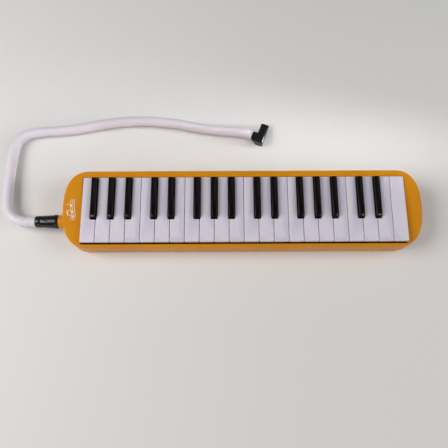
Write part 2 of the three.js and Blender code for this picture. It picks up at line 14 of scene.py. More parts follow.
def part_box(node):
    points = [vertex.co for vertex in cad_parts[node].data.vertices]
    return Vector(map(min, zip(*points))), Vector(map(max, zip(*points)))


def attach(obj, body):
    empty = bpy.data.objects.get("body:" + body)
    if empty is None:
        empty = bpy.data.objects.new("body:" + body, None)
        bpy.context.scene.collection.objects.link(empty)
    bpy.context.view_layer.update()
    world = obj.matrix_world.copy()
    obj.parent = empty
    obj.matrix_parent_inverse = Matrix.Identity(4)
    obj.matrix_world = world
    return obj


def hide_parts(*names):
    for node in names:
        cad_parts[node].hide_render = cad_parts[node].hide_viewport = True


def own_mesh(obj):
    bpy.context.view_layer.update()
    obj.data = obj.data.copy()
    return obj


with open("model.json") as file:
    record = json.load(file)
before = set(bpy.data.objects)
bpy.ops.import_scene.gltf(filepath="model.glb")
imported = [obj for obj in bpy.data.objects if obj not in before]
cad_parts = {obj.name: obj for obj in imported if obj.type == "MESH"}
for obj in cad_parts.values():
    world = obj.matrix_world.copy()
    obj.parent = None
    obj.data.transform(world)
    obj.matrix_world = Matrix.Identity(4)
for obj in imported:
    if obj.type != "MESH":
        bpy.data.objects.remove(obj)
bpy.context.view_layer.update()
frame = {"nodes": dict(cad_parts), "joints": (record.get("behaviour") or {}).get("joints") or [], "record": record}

MM = 0.001
TURN = 2 * math.pi
X_AXIS = (1, 0, 0)
Y_AXIS = (0, 1, 0)
Z_AXIS = (0, 0, 1)

# ---------------------------------------------------------------- what the frame says

BODY_OF = {n: body for body, nodes in frame["record"]["behaviour"]["bodies"].items() for n in nodes}
JOINT = {joint["name"]: joint for joint in frame["joints"]}
NOTE_NAMES = ["F", "Fs", "G", "Gs", "A", "As", "B", "C", "Cs", "D", "Ds", "E"]
KEY_COUNT = 37


def key_node(note):
    """The CAD node of a key, counted in semitones from the lowest F."""
    name = NOTE_NAMES[note % 12]
    colour = "black" if name.endswith("s") else "white"
    return f"{colour}_key_{name}{3 + (note + 5) // 12}"


def is_black(note):
    return 0 <= note < KEY_COUNT and key_node(note).startswith("black")


WHITE_NOTES = [note for note in range(KEY_COUNT) if not is_black(note)]
BLACK_NOTES = [note for note in range(KEY_COUNT) if is_black(note)]

UPPER_LOW, UPPER_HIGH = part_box("upper_case")
LOWER_LOW, LOWER_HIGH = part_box("lower_case")
FIRST_LOW, FIRST_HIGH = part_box(key_node(0))
LAST_LOW, LAST_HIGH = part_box(key_node(KEY_COUNT - 1))
BLACK_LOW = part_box(key_node(1))[0]

PIVOT_Y, PIVOT_Z = JOINT["key_F3_press"]["pos_m"][1:]
PORT_Y, PORT_Z = JOINT["hose_swivel"]["pos_m"][1:]
HOSE_END = Vector(JOINT["mouthpiece_swivel"]["pos_m"])
HOSE_END_AXIS = Vector(JOINT["mouthpiece_swivel"]["axis"]).normalized()

WHITE_PITCH = (LAST_LOW.x - FIRST_LOW.x) / (len(WHITE_NOTES) - 1)
KEY_GAP = WHITE_PITCH - (FIRST_HIGH.x - FIRST_LOW.x)
KEYBOARD_LEFT = FIRST_LOW.x - KEY_GAP / 2
KEYBOARD_RIGHT = LAST_HIGH.x + KEY_GAP / 2
SEMITONE = 7 * WHITE_PITCH / 12
BLACK_WIDTH = 7 * MM
FIT = 0.3 * MM


def cell_x(note):
    """The middle of a note's reed cell and key lever."""
    return KEYBOARD_LEFT + SEMITONE * (note + 3 / 7)


def box_centre(node):
    """The middle of a CAD node's box."""
    low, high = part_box(node)
    return (low + high) / 2


# ---------------------------------------------------------------- mesh helpers


class Build:
    """Collects closed shells of vertices and faces into one mesh."""

    def __init__(self):
        self.verts = []
        self.faces = []

    def add(self, verts, faces):
        start = len(self.verts)
        self.verts.extend(verts)
        self.faces.extend([tuple(start + i for i in face) for face in faces])

    def mesh(self, name):
        mesh = bpy.data.meshes.new(name)
        mesh.from_pydata([tuple(v) for v in self.verts], [], self.faces)
        fix_normals(mesh)
        return mesh


def fix_normals(mesh):
    """Turns every face to look outwards."""
    work = bmesh.new()
    work.from_mesh(mesh)
    bmesh.ops.recalc_face_normals(work, faces=work.faces)
    work.to_mesh(mesh)
    work.free()
    mesh.update()


def loft(rings, closed=False):
    """Quads between neighbouring rings; the ends are capped, or joined if closed."""
    count = len(rings[0])
    verts = [point for ring in rings for point in ring]
    faces = []
    steps = len(rings) if closed else len(rings) - 1
    for r in range(steps):
        a = r * count
        b = ((r + 1) % len(rings)) * count
        for i in range(count):
            j = (i + 1) % count
            faces.append((a + i, a + j, b + j, b + i))
    if not closed:
        faces.append(tuple(range(count))[::-1])
        faces.append(tuple((len(rings) - 1) * count + i for i in range(count)))
    return verts, faces


def lathe(profile, origin, axis, sides=48, closed=False):
    """A profile of (distance along the axis, radius) points turned about the axis."""
    axis = Vector(axis).normalized()
    side = axis.orthogonal().normalized()
    other = axis.cross(side)
    rings = []
    for along, radius in profile:
        ring = []
        for i in range(sides):
            angle = TURN * i / sides
            out = side * math.cos(angle) + other * math.sin(angle)
            ring.append(Vector(origin) + axis * along + out * radius)
        rings.append(ring)
    return loft(rings, closed)


def prism(points, low, high, place):
    """A flat outline carried from low to high; place turns (u, v, w) into a point."""
    rings = [[place(u, v, w) for u, v in points] for w in (low, high)]
    return loft(rings)


def block(low, high):
    """A plain cutting block between two corners."""
    points = [(low[0], low[1]), (high[0], low[1]), (high[0], high[1]), (low[0], high[1])]
    return prism(points, low[2], high[2], lambda u, v, w: Vector((u, v, w)))


def round_corners(points, radii, steps):
    """A polygon with each corner drawn as an arc of its own radius."""
    result = []
    count = len(points)
    for i, radius in enumerate(radii):
        corner = Vector(points[i])
        back = (Vector(points[i - 1]) - corner).normalized()
        ahead = (Vector(points[(i + 1) % count]) - corner).normalized()
        half = back.angle(ahead) / 2
        middle = (back + ahead).normalized()
        centre = corner + middle * (radius / math.sin(half))
        start = corner + back * (radius / math.tan(half)) - centre
        end = corner + ahead * (radius / math.tan(half)) - centre
        sweep = start.angle_signed(end) if radius > 0 else 0.0
        for step in range(steps + 1):
            turn = Matrix.Rotation(-sweep * step / steps, 2)
            result.append(centre + turn @ start)
    return result


def box_ring(low, high, radius, steps):
    """A rectangle between two (x, y) corners, with its own corners rounded."""
    corners = [(low[0], low[1]), (high[0], low[1]), (high[0], high[1]), (low[0], high[1])]
    return [tuple(point) for point in round_corners(corners, [radius] * 4, steps)]


def arc_steps(count):
    """(1 - cos, sin) pairs over a quarter turn, for rounding an edge."""
    angles = [math.pi / 2 * i / count for i in range(count + 1)]
    return [(1 - math.cos(a), math.sin(a)) for a in angles]


def new_object(name, mesh):
    obj = bpy.data.objects.new(name, mesh)
    bpy.context.scene.collection.objects.link(obj)
    return obj


def solid(name, shell):
    """An object holding one closed shell."""
    build = Build()
    build.add(*shell)
    return new_object(name, build.mesh(name))


def combine(obj, operation, shells):
    """Joins closed shells to the object or cuts it with them."""
    tools = [solid("tool", shell) for shell in shells]
    for tool in tools:
        modifier = obj.modifiers.new("boolean", "BOOLEAN")
        modifier.operation = operation
        modifier.solver = "EXACT"
        modifier.object = tool
    graph = bpy.context.evaluated_depsgraph_get()
    mesh = bpy.data.meshes.new_from_object(obj.evaluated_get(graph), depsgraph=graph)
    obj.modifiers.clear()
    old = obj.data
    obj.data = mesh
    bpy.data.meshes.remove(old)
    for tool in tools:
        data = tool.data
        bpy.data.objects.remove(tool)
        bpy.data.meshes.remove(data)


def finish_piece(obj, node, *materials, sharp=35):
    """Shades a piece, gives it its materials and lets it ride in place of its CAD node."""
    obj.data.materials.clear()
    for material in materials:
        obj.data.materials.append(material)
    obj.data.shade_smooth()
    obj.data.set_sharp_from_angle(angle=math.radians(sharp))
    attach(obj, BODY_OF[node])
    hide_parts(node)


# ---------------------------------------------------------------- materials


class Nodes:
    """A short way to wire up one material's nodes."""

    def __init__(self, name):
        self.material = bpy.data.materials.new(name)
        self.material.use_nodes = True
        self.tree = self.material.node_tree
        self.shader = self.tree.nodes["Principled BSDF"]
        self.coords = self.tree.nodes.new("ShaderNodeTexCoord").outputs["Object"]

    def add(self, kind, inputs=None, **settings):
        """Makes a node; its inputs are fed with values, colours or other nodes' outputs."""
        node = self.tree.nodes.new(kind)
        for key, value in settings.items():
            setattr(node, key, value)
        for key, value in (inputs or {}).items():
            self.feed(value, node.inputs[key])
        return node

    def feed(self, source, target):
        if isinstance(source, bpy.types.NodeSocket):
            self.tree.links.new(source, target)
        elif target.type == "RGBA":
            target.default_value = (*source, 1.0)
        else:
            target.default_value = source

    def set(self, **values):
        """Sets inputs of the shader, written with underscores for spaces."""
        for key, value in values.items():
            self.feed(value, self.shader.inputs[key.replace("_", " ")])

    def noise(self, scale, detail=4.0, stretch=(1, 1, 1), distortion=0.0):
        mapping = self.add("ShaderNodeMapping", {"Scale": stretch, "Vector": self.coords})
        inputs = {"Scale": scale, "Detail": detail, "Distortion": distortion,
                  "Vector": mapping.outputs["Vector"]}
        return self.add("ShaderNodeTexNoise", inputs).outputs["Fac"]

    def spread(self, value, low, high, start=0.3, end=0.7):
        """Stretches the values between start and end to run from low to high."""
        inputs = {"Value": value, "From Min": start, "From Max": end, "To Min": low, "To Max": high}
        return self.add("ShaderNodeMapRange", inputs).outputs["Result"]

    def mix(self, factor, first, second):
        """Mixes two colours; the colour sockets of this node are the ones at 6 and 7."""
        return self.add("ShaderNodeMix", {0: factor, 6: first, 7: second}, data_type="RGBA").outputs[2]

    def math(self, operation, first, second=0.0):
        return self.add("ShaderNodeMath", {0: first, 1: second}, operation=operation).outputs[0]

    def edges(self):
        """High where the surface is sharply convex, for edges painted lighter as a highlight and as rubbing wear.
        """
        geometry = self.add("ShaderNodeNewGeometry")
        return self.spread(geometry.outputs["Pointiness"], 0.0, 1.0, 0.52, 0.6)

    def bump(self, height, strength, distance, under=None):
        inputs = {"Strength": strength, "Distance": distance, "Height": height}
        if under is not None:
            inputs["Normal"] = under
        return self.add("ShaderNodeBump", inputs).outputs["Normal"]

    def finish(self, colour, roughness, normal=None):
        self.set(Base_Color=colour, Roughness=roughness)
        if normal is not None:
            self.set(Normal=normal)
        return self.material


def moulded_plastic(name, colour, shade, roughness, relief=0.12, edge_wear_and_highlight=0.35, light=1.35, shine=0.5):
    """Injection-moulded plastic: faint colour drift, fine spark texture, and convex edges lightened partly as
    rubbing wear and partly as a painted highlight.
    """
    nodes = Nodes(name)
    nodes.set(Specular_IOR_Level=shine)
    base = nodes.mix(nodes.spread(nodes.noise(14, 3), 0.0, 1.0), colour, shade)
    # Convex edges are painted lighter: partly rubbing wear, partly a painted highlight.
    worn = tuple(min(1.0, c * light + 0.02) for c in colour)
    base = nodes.mix(nodes.math("MULTIPLY", nodes.edges(), edge_wear_and_highlight), base, worn)
    fine = nodes.noise(1800, 2)
    smear = nodes.noise(45, 5, stretch=(1, 2.5, 1))
    gloss = nodes.spread(smear, roughness * 0.86, roughness * 1.16)
    wave = nodes.bump(nodes.noise(60, 2), 0.05, 0.2 * MM)
    return nodes.finish(base, gloss, nodes.bump(fine, relief, 0.02 * MM, wave))


def white_key_material():
    """Polished white plastic with a cool cast and faint rubbed streaks along the keys."""
    nodes = Nodes("white_key")
    streak = nodes.spread(nodes.noise(90, 4, stretch=(1, 0.12, 1)), 0.0, 1.0)
    base = nodes.mix(streak, (0.67, 0.617, 0.735), (0.645, 0.598, 0.715))
    # Convex edges, the front edge most, are painted a pinkish white: a painted highlight on the rounding.
    base = nodes.mix(nodes.math("MULTIPLY", nodes.edges(), 0.5), base, (0.86, 0.80, 0.84))
    gloss = nodes.spread(nodes.noise(220, 5, stretch=(1, 0.2, 1)), 0.2, 0.34)
    nodes.set(Subsurface_Weight=0.08, Subsurface_Scale=1.5 * MM)
    nodes.set(Subsurface_Radius=(1.0, 0.9, 0.8))
    return nodes.finish(base, gloss, nodes.bump(nodes.noise(1500, 2), 0.06, 0.02 * MM))


def black_key_material():
    """Satin black with the grain of a lightly brushed mould and gloss that varies in streaks along the key."""
    nodes = Nodes("black_key")
    streak = nodes.spread(nodes.noise(260, 5, stretch=(1, 0.08, 1)), 0.0, 1.0)
    base = nodes.mix(streak, (0.003, 0.0013, 0.002), (0.0045, 0.0026, 0.0033))
    # Convex edges are painted a lighter grey: partly rubbing wear, partly a painted highlight.
    base = nodes.mix(nodes.math("MULTIPLY", nodes.edges(), 0.3), base, (0.04, 0.037, 0.04))
    gloss = nodes.spread(nodes.noise(120, 4, stretch=(1, 0.3, 1)), 0.15, 0.22)
    nodes.set(Specular_IOR_Level=0.2)
    return nodes.finish(base, gloss, nodes.bump(nodes.noise(1300, 3, stretch=(1, 0.3, 1)), 0.12, 0.02 * MM))


def hose_material():
    """Soft milky plastic: light soaks in a little, with a faint lavender cast."""
    nodes = Nodes("hose_plastic")
    cloud = nodes.spread(nodes.noise(35, 4), 0.0, 1.0)
    base = nodes.mix(cloud, (0.80, 0.745, 0.80), (0.74, 0.69, 0.765))
    gloss = nodes.spread(nodes.noise(160, 4), 0.3, 0.46)
    nodes.set(Subsurface_Weight=0.35, Subsurface_Scale=3 * MM)
    nodes.set(Subsurface_Radius=(1.0, 0.85, 0.9))
    fine = nodes.bump(nodes.noise(900, 3), 0.08, 0.03 * MM)
    return nodes.finish(base, gloss, nodes.bump(nodes.noise(120, 2), 0.12, 0.15 * MM, fine))


def metal(name, colour, shade, roughness, stretch):
    """Drawn or rolled metal: fine scratches one way and slight tarnish in patches."""
    nodes = Nodes(name)
    tarnish = nodes.spread(nodes.noise(60, 5), 0.0, 1.0, 0.4, 0.75)
    base = nodes.mix(tarnish, colour, shade)
    scratch = nodes.noise(2400, 3, stretch=stretch)
    gloss = nodes.spread(scratch, roughness * 0.8, roughness * 1.3)
    nodes.set(Metallic=1.0)
    return nodes.finish(base, gloss, nodes.bump(scratch, 0.12, 0.02 * MM))


def rubber_material():
    nodes = Nodes("rubber")
    dust = nodes.spread(nodes.noise(120, 6), 0.0, 1.0, 0.45, 0.75)
    base = nodes.mix(dust, (0.024, 0.024, 0.026), (0.06, 0.058, 0.057))
    return nodes.finish(base, 0.85, nodes.bump(nodes.noise(1600, 4), 0.25, 0.04 * MM))


def felt_material():
    """Pressed wool: tangled fibres, matt, with a soft sheen."""
    nodes = Nodes("felt")
    fibres = nodes.noise(900, 8, distortion=1.5)
    base = nodes.mix(nodes.spread(fibres, 0.0, 1.0), (0.20, 0.018, 0.028), (0.34, 0.05, 0.06))
    nodes.set(Sheen_Weight=0.6, Sheen_Roughness=0.6)
    return nodes.finish(base, 0.95, nodes.bump(fibres, 0.8, 0.2 * MM))


def webbing_material():
    """Woven polyester: ribs across the band crossed by the warp threads."""
    nodes = Nodes("webbing")
    across, along = [nodes.add("ShaderNodeTexWave", {"Scale": scale, "Vector": nodes.coords},
                               wave_type="BANDS", bands_direction=direction).outputs["Fac"]
                     for scale, direction in ((260, "X"), (330, "Y"))]
    weave = nodes.math("MULTIPLY", across, along)
    fuzz = nodes.noise(1500, 4)
    height = nodes.math("ADD", weave, nodes.math("MULTIPLY", fuzz, 0.3))
    base = nodes.mix(height, (0.008, 0.008, 0.009), (0.045, 0.045, 0.05))
    nodes.set(Sheen_Weight=0.3)
    return nodes.finish(base, 0.88, nodes.bump(height, 0.7, 0.25 * MM))


def print_material():
    """Thin white pad print, slightly broken where the ink is worn."""
    nodes = Nodes("white_print")
    worn = nodes.spread(nodes.noise(500, 4), 0.0, 1.0, 0.55, 0.75)
    base = nodes.mix(worn, (0.86, 0.80, 0.72), (0.80, 0.55, 0.30))
    return nodes.finish(base, 0.5, nodes.bump(nodes.noise(1500, 2), 0.1, 0.02 * MM))


ORANGE = moulded_plastic("orange_shell", (0.714, 0.287, 0.007), (0.668, 0.249, 0.006), 0.28,
                         relief=0.15, light=1.2, shine=0.1)
BLACK = moulded_plastic("black_plastic", (0.006, 0.006, 0.0068), (0.009, 0.009, 0.0105), 0.22,
                        relief=0.06, edge_wear_and_highlight=0.2, light=4.0, shine=0.45)
GREY = moulded_plastic("grey_plastic", (0.27, 0.28, 0.30), (0.23, 0.24, 0.26), 0.55, relief=0.3)
BRASS = metal("brass", (0.62, 0.38, 0.10), (0.42, 0.24, 0.07), 0.28, (1, 0.05, 1))
STEEL = metal("steel", (0.56, 0.57, 0.58), (0.42, 0.42, 0.43), 0.26, (0.05, 1, 1))
WHITE = white_key_material()
BLACK_KEY = black_key_material()
HOSE = hose_material()
RUBBER = rubber_material()
FELT = felt_material()
WEBBING = webbing_material()
PRINT = print_material()

# ---------------------------------------------------------------- case shells

CASE_FRONT = LOWER_LOW.y
CASE_REAR = LOWER_HIGH.y
CASE_MID_X = (LOWER_LOW.x + LOWER_HIGH.x) / 2
CASE_MID_Y = (CASE_FRONT + CASE_REAR) / 2
CASE_HALF_LENGTH = (LOWER_HIGH.x - LOWER_LOW.x) / 2
CASE_HALF_WIDTH = (CASE_REAR - CASE_FRONT) / 2
WALL = 2.2 * MM
END_DEPTH = 32 * MM
END_FULLNESS = 2.5
TOP_REAR = UPPER_HIGH.z
TOP_FRONT = TOP_REAR - 7 * MM
TOP_SLOPE = (TOP_REAR - TOP_FRONT) / (CASE_REAR - CASE_FRONT)
TOP_EDGE = 3.4 * MM
TOP_EDGE_RUN = 1.9 * MM
OPENING_LOW = (KEYBOARD_LEFT - 0.9 * MM, FIRST_LOW.y - 1.1 * MM)
OPENING_HIGH = (KEYBOARD_RIGHT + 0.9 * MM, FIRST_HIGH.y + 1.0 * MM)
SIDE_STEPS = 40
END_STEPS = 56


def top_z(y):
    """The height of the case's top, which leans down towards the player."""
    return TOP_REAR - TOP_SLOPE * (CASE_REAR - y)


def both_ends(half_ring, centre_x, centre_y):
    """Completes a ring from its right end and rear side by turning them half way round."""
    return [(centre_x + side * x, centre_y + side * y) for side in (1, -1) for x, y in half_ring]


def case_outline(inset):
    """The plan of the case as one ring: right end, rear side, left end, front side."""
    power = 2 / END_FULLNESS
    straight = CASE_HALF_LENGTH - END_DEPTH
    half_ring = []
    for step in range(END_STEPS + 1):
        angle = -math.pi / 2 + math.pi * step / END_STEPS
        reach = (END_DEPTH - inset) * abs(math.cos(angle)) ** power
        swing = (CASE_HALF_WIDTH - inset) * abs(math.sin(angle)) ** power
        half_ring.append((straight + reach, math.copysign(swing, angle)))
    for step in range(1, SIDE_STEPS):
        half_ring.append((straight * (1 - 2 * step / SIDE_STEPS), CASE_HALF_WIDTH - inset))
    return both_ends(half_ring, CASE_MID_X, CASE_MID_Y)


def opening_outline(outset):
    """The key opening as a ring that runs beside case_outline, point for point."""
    half_x = (OPENING_HIGH[0] - OPENING_LOW[0]) / 2 + outset
    half_y = (OPENING_HIGH[1] - OPENING_LOW[1]) / 2 + outset
    radius = 1.0 * MM + outset
    corner_steps = 8
    flat_steps = END_STEPS - 2 * corner_steps
    half_ring = []
    for step in range(corner_steps):
        angle = math.pi / 2 * step / corner_steps
        half_ring.append((half_x - radius * (1 - math.sin(angle)),
                          radius * (1 - math.cos(angle)) - half_y))
    for step in range(flat_steps + 1):
        half_ring.append((half_x, (half_y - radius) * (2 * step / flat_steps - 1)))
    for step in range(1, corner_steps + 1):
        angle = math.pi / 2 * step / corner_steps
        half_ring.append((half_x - radius * (1 - math.cos(angle)),
                          half_y - radius * (1 - math.sin(angle))))
    for step in range(1, SIDE_STEPS):
        half_ring.append(((half_x - radius) * (1 - 2 * step / SIDE_STEPS), half_y))
    return both_ends(half_ring, (OPENING_LOW[0] + OPENING_HIGH[0]) / 2,
                     (OPENING_LOW[1] + OPENING_HIGH[1]) / 2)


def between(ring_a, ring_b, share):
    """The flat ring that lies a share of the way from one ring to another."""
    return [(ax + (bx - ax) * share, ay + (by - ay) * share) for (ax, ay), (bx, by) in zip(ring_a, ring_b)]


def at_height(ring, height):
    """Lifts a flat ring; height is a number or a function of y."""
    if callable(height):
        return [Vector((x, y, height(y))) for x, y in ring]
    return [Vector((x, y, height)) for x, y in ring]


def rod(radius, low, high, origin, axis, sides=48):
    """A plain round bar between two distances along its axis."""
    return lathe([(low, radius), (high, radius)], origin, axis, sides)


def flared_rod(radius, low, high, flare, origin, axis, sides):
    """A cutter that breaks the edge of the hole it leaves at its low end."""
    profile = [(low, radius + flare), (low + flare + 0.4 * MM, radius), (high, radius)]
    return lathe(profile, origin, axis, sides)


SCREW_NODES = [f"case_screw_{number}" for number in range(1, 5)]
SOCKET_RADIUS = 8 * MM
SOCKET_BORE = 5.3 * MM
BOSS_RADIUS = 4.5 * MM
SCREW_RADIUS = 1.4 * MM
SCREW_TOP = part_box(SCREW_NODES[0])[1].z
SEAM_EDGE = 0.35 * MM


def port_shell():
    """The cutter for the round port in the left end, where the blow socket sits."""
    reach = 8 * MM
    return rod(SOCKET_RADIUS + FIT, -reach, reach, (LOWER_LOW.x, PORT_Y, PORT_Z), X_AXIS, 64)


def below_top(depth):
    """A height that stays a given depth under the leaning top."""
    return lambda y: top_z(y) - depth


def make_upper_case():
    """The top shell: rounded outer edge, key opening, screw posts and half of the port."""
    bottom = UPPER_LOW.z
    lip = 0.5 * MM
    step_in = 0.1 * MM
    corner = 0.8 * MM
    rings = [
        at_height(case_outline(SEAM_EDGE), bottom),
        at_height(case_outline(0), bottom + SEAM_EDGE),
        at_height(case_outline(0), lambda y: (bottom + top_z(y) - TOP_EDGE) / 2),
    ]
    for inward, up in arc_steps(8):
        rings.append(at_height(case_outline(TOP_EDGE_RUN * inward), below_top(TOP_EDGE * (1 - up))))
    rim = case_outline(TOP_EDGE_RUN + step_in)
    mouth = opening_outline(lip + step_in)
    for share in (0, 0.25, 0.5, 0.75, 1.0):
        rings.append(at_height(between(rim, mouth, share), top_z))
    for inward, up in reversed(arc_steps(4)):
        rings.append(at_height(opening_outline(lip * inward), below_top(lip * (1 - up))))
    rings += [
        at_height(opening_outline(0), below_top(WALL)),
        at_height(case_outline(WALL + corner), below_top(WALL)),
        at_height(case_outline(WALL), below_top(WALL + corner)),
        at_height(case_outline(WALL), bottom),
    ]
    shell = solid("upper_case_shell", loft(rings, closed=True))
    posts = []
    holes = [port_shell()]
    for node in SCREW_NODES:
        centre = (box_centre(node).x, box_centre(node).y, 0)
        posts.append(rod(BOSS_RADIUS, bottom, top_z(centre[1]) - WALL / 2, centre, Z_AXIS, 32))
        holes.append(flared_rod(SCREW_RADIUS + FIT, bottom - 0.5 * MM, SCREW_TOP + 2 * MM, 0.5 * MM,
                                centre, Z_AXIS, 24))
    combine(shell, "UNION", posts)
    combine(shell, "DIFFERENCE", holes)
    finish_piece(shell, "upper_case", ORANGE)


def make_lower_case():
    """The bottom shell: ribs and posts inside, the strap's recess and the screw pockets outside."""
    top = LOWER_HIGH.z
    floor = WALL
    edge = 2.4 * MM
    corner = 1.2 * MM
    rings = [at_height(case_outline(edge + 0.4 * MM), LOWER_LOW.z)]
    for inward, up in arc_steps(6):
        rings.append(at_height(case_outline(edge * (1 - up)), LOWER_LOW.z + edge * inward))
    rings += [
        at_height(case_outline(0), top - SEAM_EDGE),
        at_height(case_outline(SEAM_EDGE), top),
        at_height(case_outline(WALL), top),
        at_height(case_outline(WALL), floor + corner),
        at_height(case_outline(WALL + corner), floor),
    ]
    shell = solid("lower_case_shell", loft(rings))
    strap_low, strap_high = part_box("hand_strap")
    side = 1.5 * MM
    end = 0.8 * MM
    recess_low = Vector((strap_low.x - end, strap_low.y - side, 0))
    recess_high = Vector((strap_high.x + end, strap_high.y + side, strap_high.z + 0.6 * MM))
    thick = Vector((WALL, WALL, 0))
    roof_low = recess_low - thick
    roof_high = recess_high + thick
    chamber_low, chamber_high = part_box("chamber_cover")
    joined = [block((roof_low.x, roof_low.y, floor / 2), (roof_high.x, roof_high.y, recess_high.z + WALL))]
    rib_shares = (0.073, 0.4695, 0.652, 0.843)
    for share in rib_shares:
        x = chamber_low.x + (chamber_high.x - chamber_low.x) * share
        joined.append(block((x - WALL / 2, chamber_low.y + 3 * MM, floor / 2),
                            (x + WALL / 2, chamber_high.y - 5 * MM, chamber_low.z - FIT)))
    cuts = [port_shell(), recess_shell(recess_low, recess_high)]
    flare = 0.6 * MM
    pocket_radius = 3.4 * MM
    pocket_depth = 3.5 * MM
    start = -0.4 * MM
    for node in SCREW_NODES:
        centre = (box_centre(node).x, box_centre(node).y, 0)
        joined.append(rod(BOSS_RADIUS, floor / 2, top, centre, Z_AXIS, 32))
        cuts.append(flared_rod(pocket_radius, start, pocket_depth, flare, centre, Z_AXIS, 40))
        cuts.append(rod(SCREW_RADIUS + FIT, 0, top + MM, centre, Z_AXIS, 24))
    drain_low, drain_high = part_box("drain_button")
    radius = (drain_high.x - drain_low.x) / 2 + FIT
    centre = ((drain_low.x + drain_high.x) / 2, 0, 0)
    cuts.append(flared_rod(radius, start, floor + MM, flare, centre, Z_AXIS, 48))
    combine(shell, "UNION", joined)
    combine(shell, "DIFFERENCE", cuts)
    finish_piece(shell, "lower_case", ORANGE)


def recess_shell(low, high):
    """The strap's recess, with rounded corners and a broken edge at its mouth."""
    rings = []
    for outset, z in ((0.9 * MM, -0.3 * MM), (0, 0.6 * MM), (0, high.z - 0.8 * MM), (-0.8 * MM, high.z)):
        ring = box_ring((low.x - outset, low.y - outset), (high.x + outset, high.y + outset),
                        3 * MM + outset, 5)
        rings.append(at_height(ring, z))
    return loft(rings)


# ---------------------------------------------------------------- keys

KEY_WALL = 1.6 * MM
LEVER_HALF = 1.5 * MM
LEVER_FRONT = -12 * MM
NOTCH_SIDE = BLACK_WIDTH / 2 + KEY_GAP
NOTCH_FRONT = BLACK_LOW.y - 1.5 * MM
PAD_BOTTOM = FIRST_LOW.z
PAD_FRONT = PIVOT_Y + 11 * MM
PAD_REAR = PIVOT_Y + 19 * MM
PAD_HALF = 4 * MM
PAD_FELT = 1.3 * MM


def lever_shell(note, underside):
    """The web below a key, with its open bearing over the axle and its foot over the vent."""
    x = cell_x(note)
    bearing = 1.3 * MM
    arc = 8
    bottom = PIVOT_Z - 2 * bearing
    inside = underside + KEY_WALL / 2
    foot = PAD_BOTTOM + PAD_FELT
    points = [(LEVER_FRONT, inside), (LEVER_FRONT, underside - 3 * MM),
              (PIVOT_Y - 6 * MM, bottom), (PIVOT_Y - bearing, bottom)]
    for step in range(arc + 1):
        angle = math.pi - math.pi * step / arc
        points.append((PIVOT_Y + bearing * math.cos(angle), PIVOT_Z + bearing * math.sin(angle)))
    points += [(PIVOT_Y + bearing, bottom), (PAD_FRONT, bottom), (PAD_FRONT, foot + MM),
               (PAD_REAR, foot + MM), (PAD_REAR, inside)]
    return prism(points, x - LEVER_HALF, x + LEVER_HALF, lambda u, v, w: Vector((w, u, v)))


def pad_shells(note):
    """The lever's flat foot, and the soft pad glued under it."""
    x = cell_x(note)
    foot_low = PAD_BOTTOM + PAD_FELT
    ring = box_ring((x - PAD_HALF, PAD_FRONT), (x + PAD_HALF, PAD_REAR), 0.8 * MM, 3)
    foot = loft([at_height(ring, foot_low), at_height(ring, foot_low + 1.1 * MM)])
    pad = loft([at_height(ring, PAD_BOTTOM), at_height(ring, foot_low - 0.02 * MM)])
    return foot, pad


def add_pad(obj, pad):
    """Adds the pad to the key's mesh as a second closed shell with its own material."""
    verts, faces = pad
    work = bmesh.new()
    work.from_mesh(obj.data)
    made = [work.verts.new(v) for v in verts]
    for face in faces:
        work.faces.new([made[i] for i in face]).material_index = 1
    bmesh.ops.recalc_face_normals(work, faces=work.faces)
    work.to_mesh(obj.data)
    work.free()


def make_key(note, rings, underside, material):
    """A key: its hollow cap from the rings, the lever below it and the pad under its foot."""
    node = key_node(note)
    key = solid(f"{node}_cap", loft(rings))
    foot, pad = pad_shells(note)
    combine(key, "UNION", [lever_shell(note, underside), foot])
    add_pad(key, pad)
    finish_piece(key, node, material, RUBBER)


def white_outline(note, inset, setback=0.0):
    """The plan of a white key, cut back beside each black neighbour and set back in front."""
    low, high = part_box(key_node(note))
    left, right = low.x + inset, high.x - inset
    front, rear = low.y + inset + setback, high.y - inset
    shoulder = NOTCH_FRONT - inset
    convex = max(0.9 * MM - inset, 0.12 * MM)
    tight = max(0.45 * MM - inset, 0.1 * MM)
    concave = 0.5 * MM + inset
    points = [(left, front), (right, front)]
    radii = [convex, convex]
    if is_black(note + 1):
        side = cell_x(note + 1) - NOTCH_SIDE - inset
        points += [(right, shoulder), (side, shoulder), (side, rear)]
        radii += [tight, concave, tight]
    else:
        points.append((right, rear))
        radii.append(tight)
    if is_black(note - 1):
        side = cell_x(note - 1) + NOTCH_SIDE + inset
        points += [(side, rear), (side, shoulder), (left, shoulder)]
        radii += [tight, concave, tight]
    else:
        points.append((left, rear))
        radii.append(tight)
    return [tuple(point) for point in round_corners(points, radii, 4)]


def make_white_key(note):
    """A white key, whose front lip overhangs its skirt."""
    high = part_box(key_node(note))[1]
    skirt = 28.5 * MM
    underside = high.z - KEY_WALL
    rounding = 0.75 * MM
    lip_bottom = high.z - 4.6 * MM
    setback = 1.5 * MM
    edge = 0.25 * MM
    rings = [
        at_height(white_outline(note, KEY_WALL, setback), underside),
        at_height(white_outline(note, KEY_WALL, setback), skirt),
        at_height(white_outline(note, edge, setback), skirt),
        at_height(white_outline(note, 0, setback), skirt + edge),
        at_height(white_outline(note, 0, setback), lip_bottom),
        at_height(white_outline(note, 0, edge), lip_bottom + edge / 4),
        at_height(white_outline(note, 0), lip_bottom + edge),
    ]
    for inward, up in arc_steps(5):
        rings.append(at_height(white_outline(note, rounding * inward), high.z - rounding * (1 - up)))
    rings.append(at_height(white_outline(note, rounding + 0.15 * MM), high.z))
    make_key(note, rings, underside, WHITE)


def black_ring(x, half, front, rear, radius, z):
    """A rounded rectangle at a height, as wide on either side of x as half says."""
    return at_height(box_ring((x - half, front), (x + half, rear), radius, 5), z)


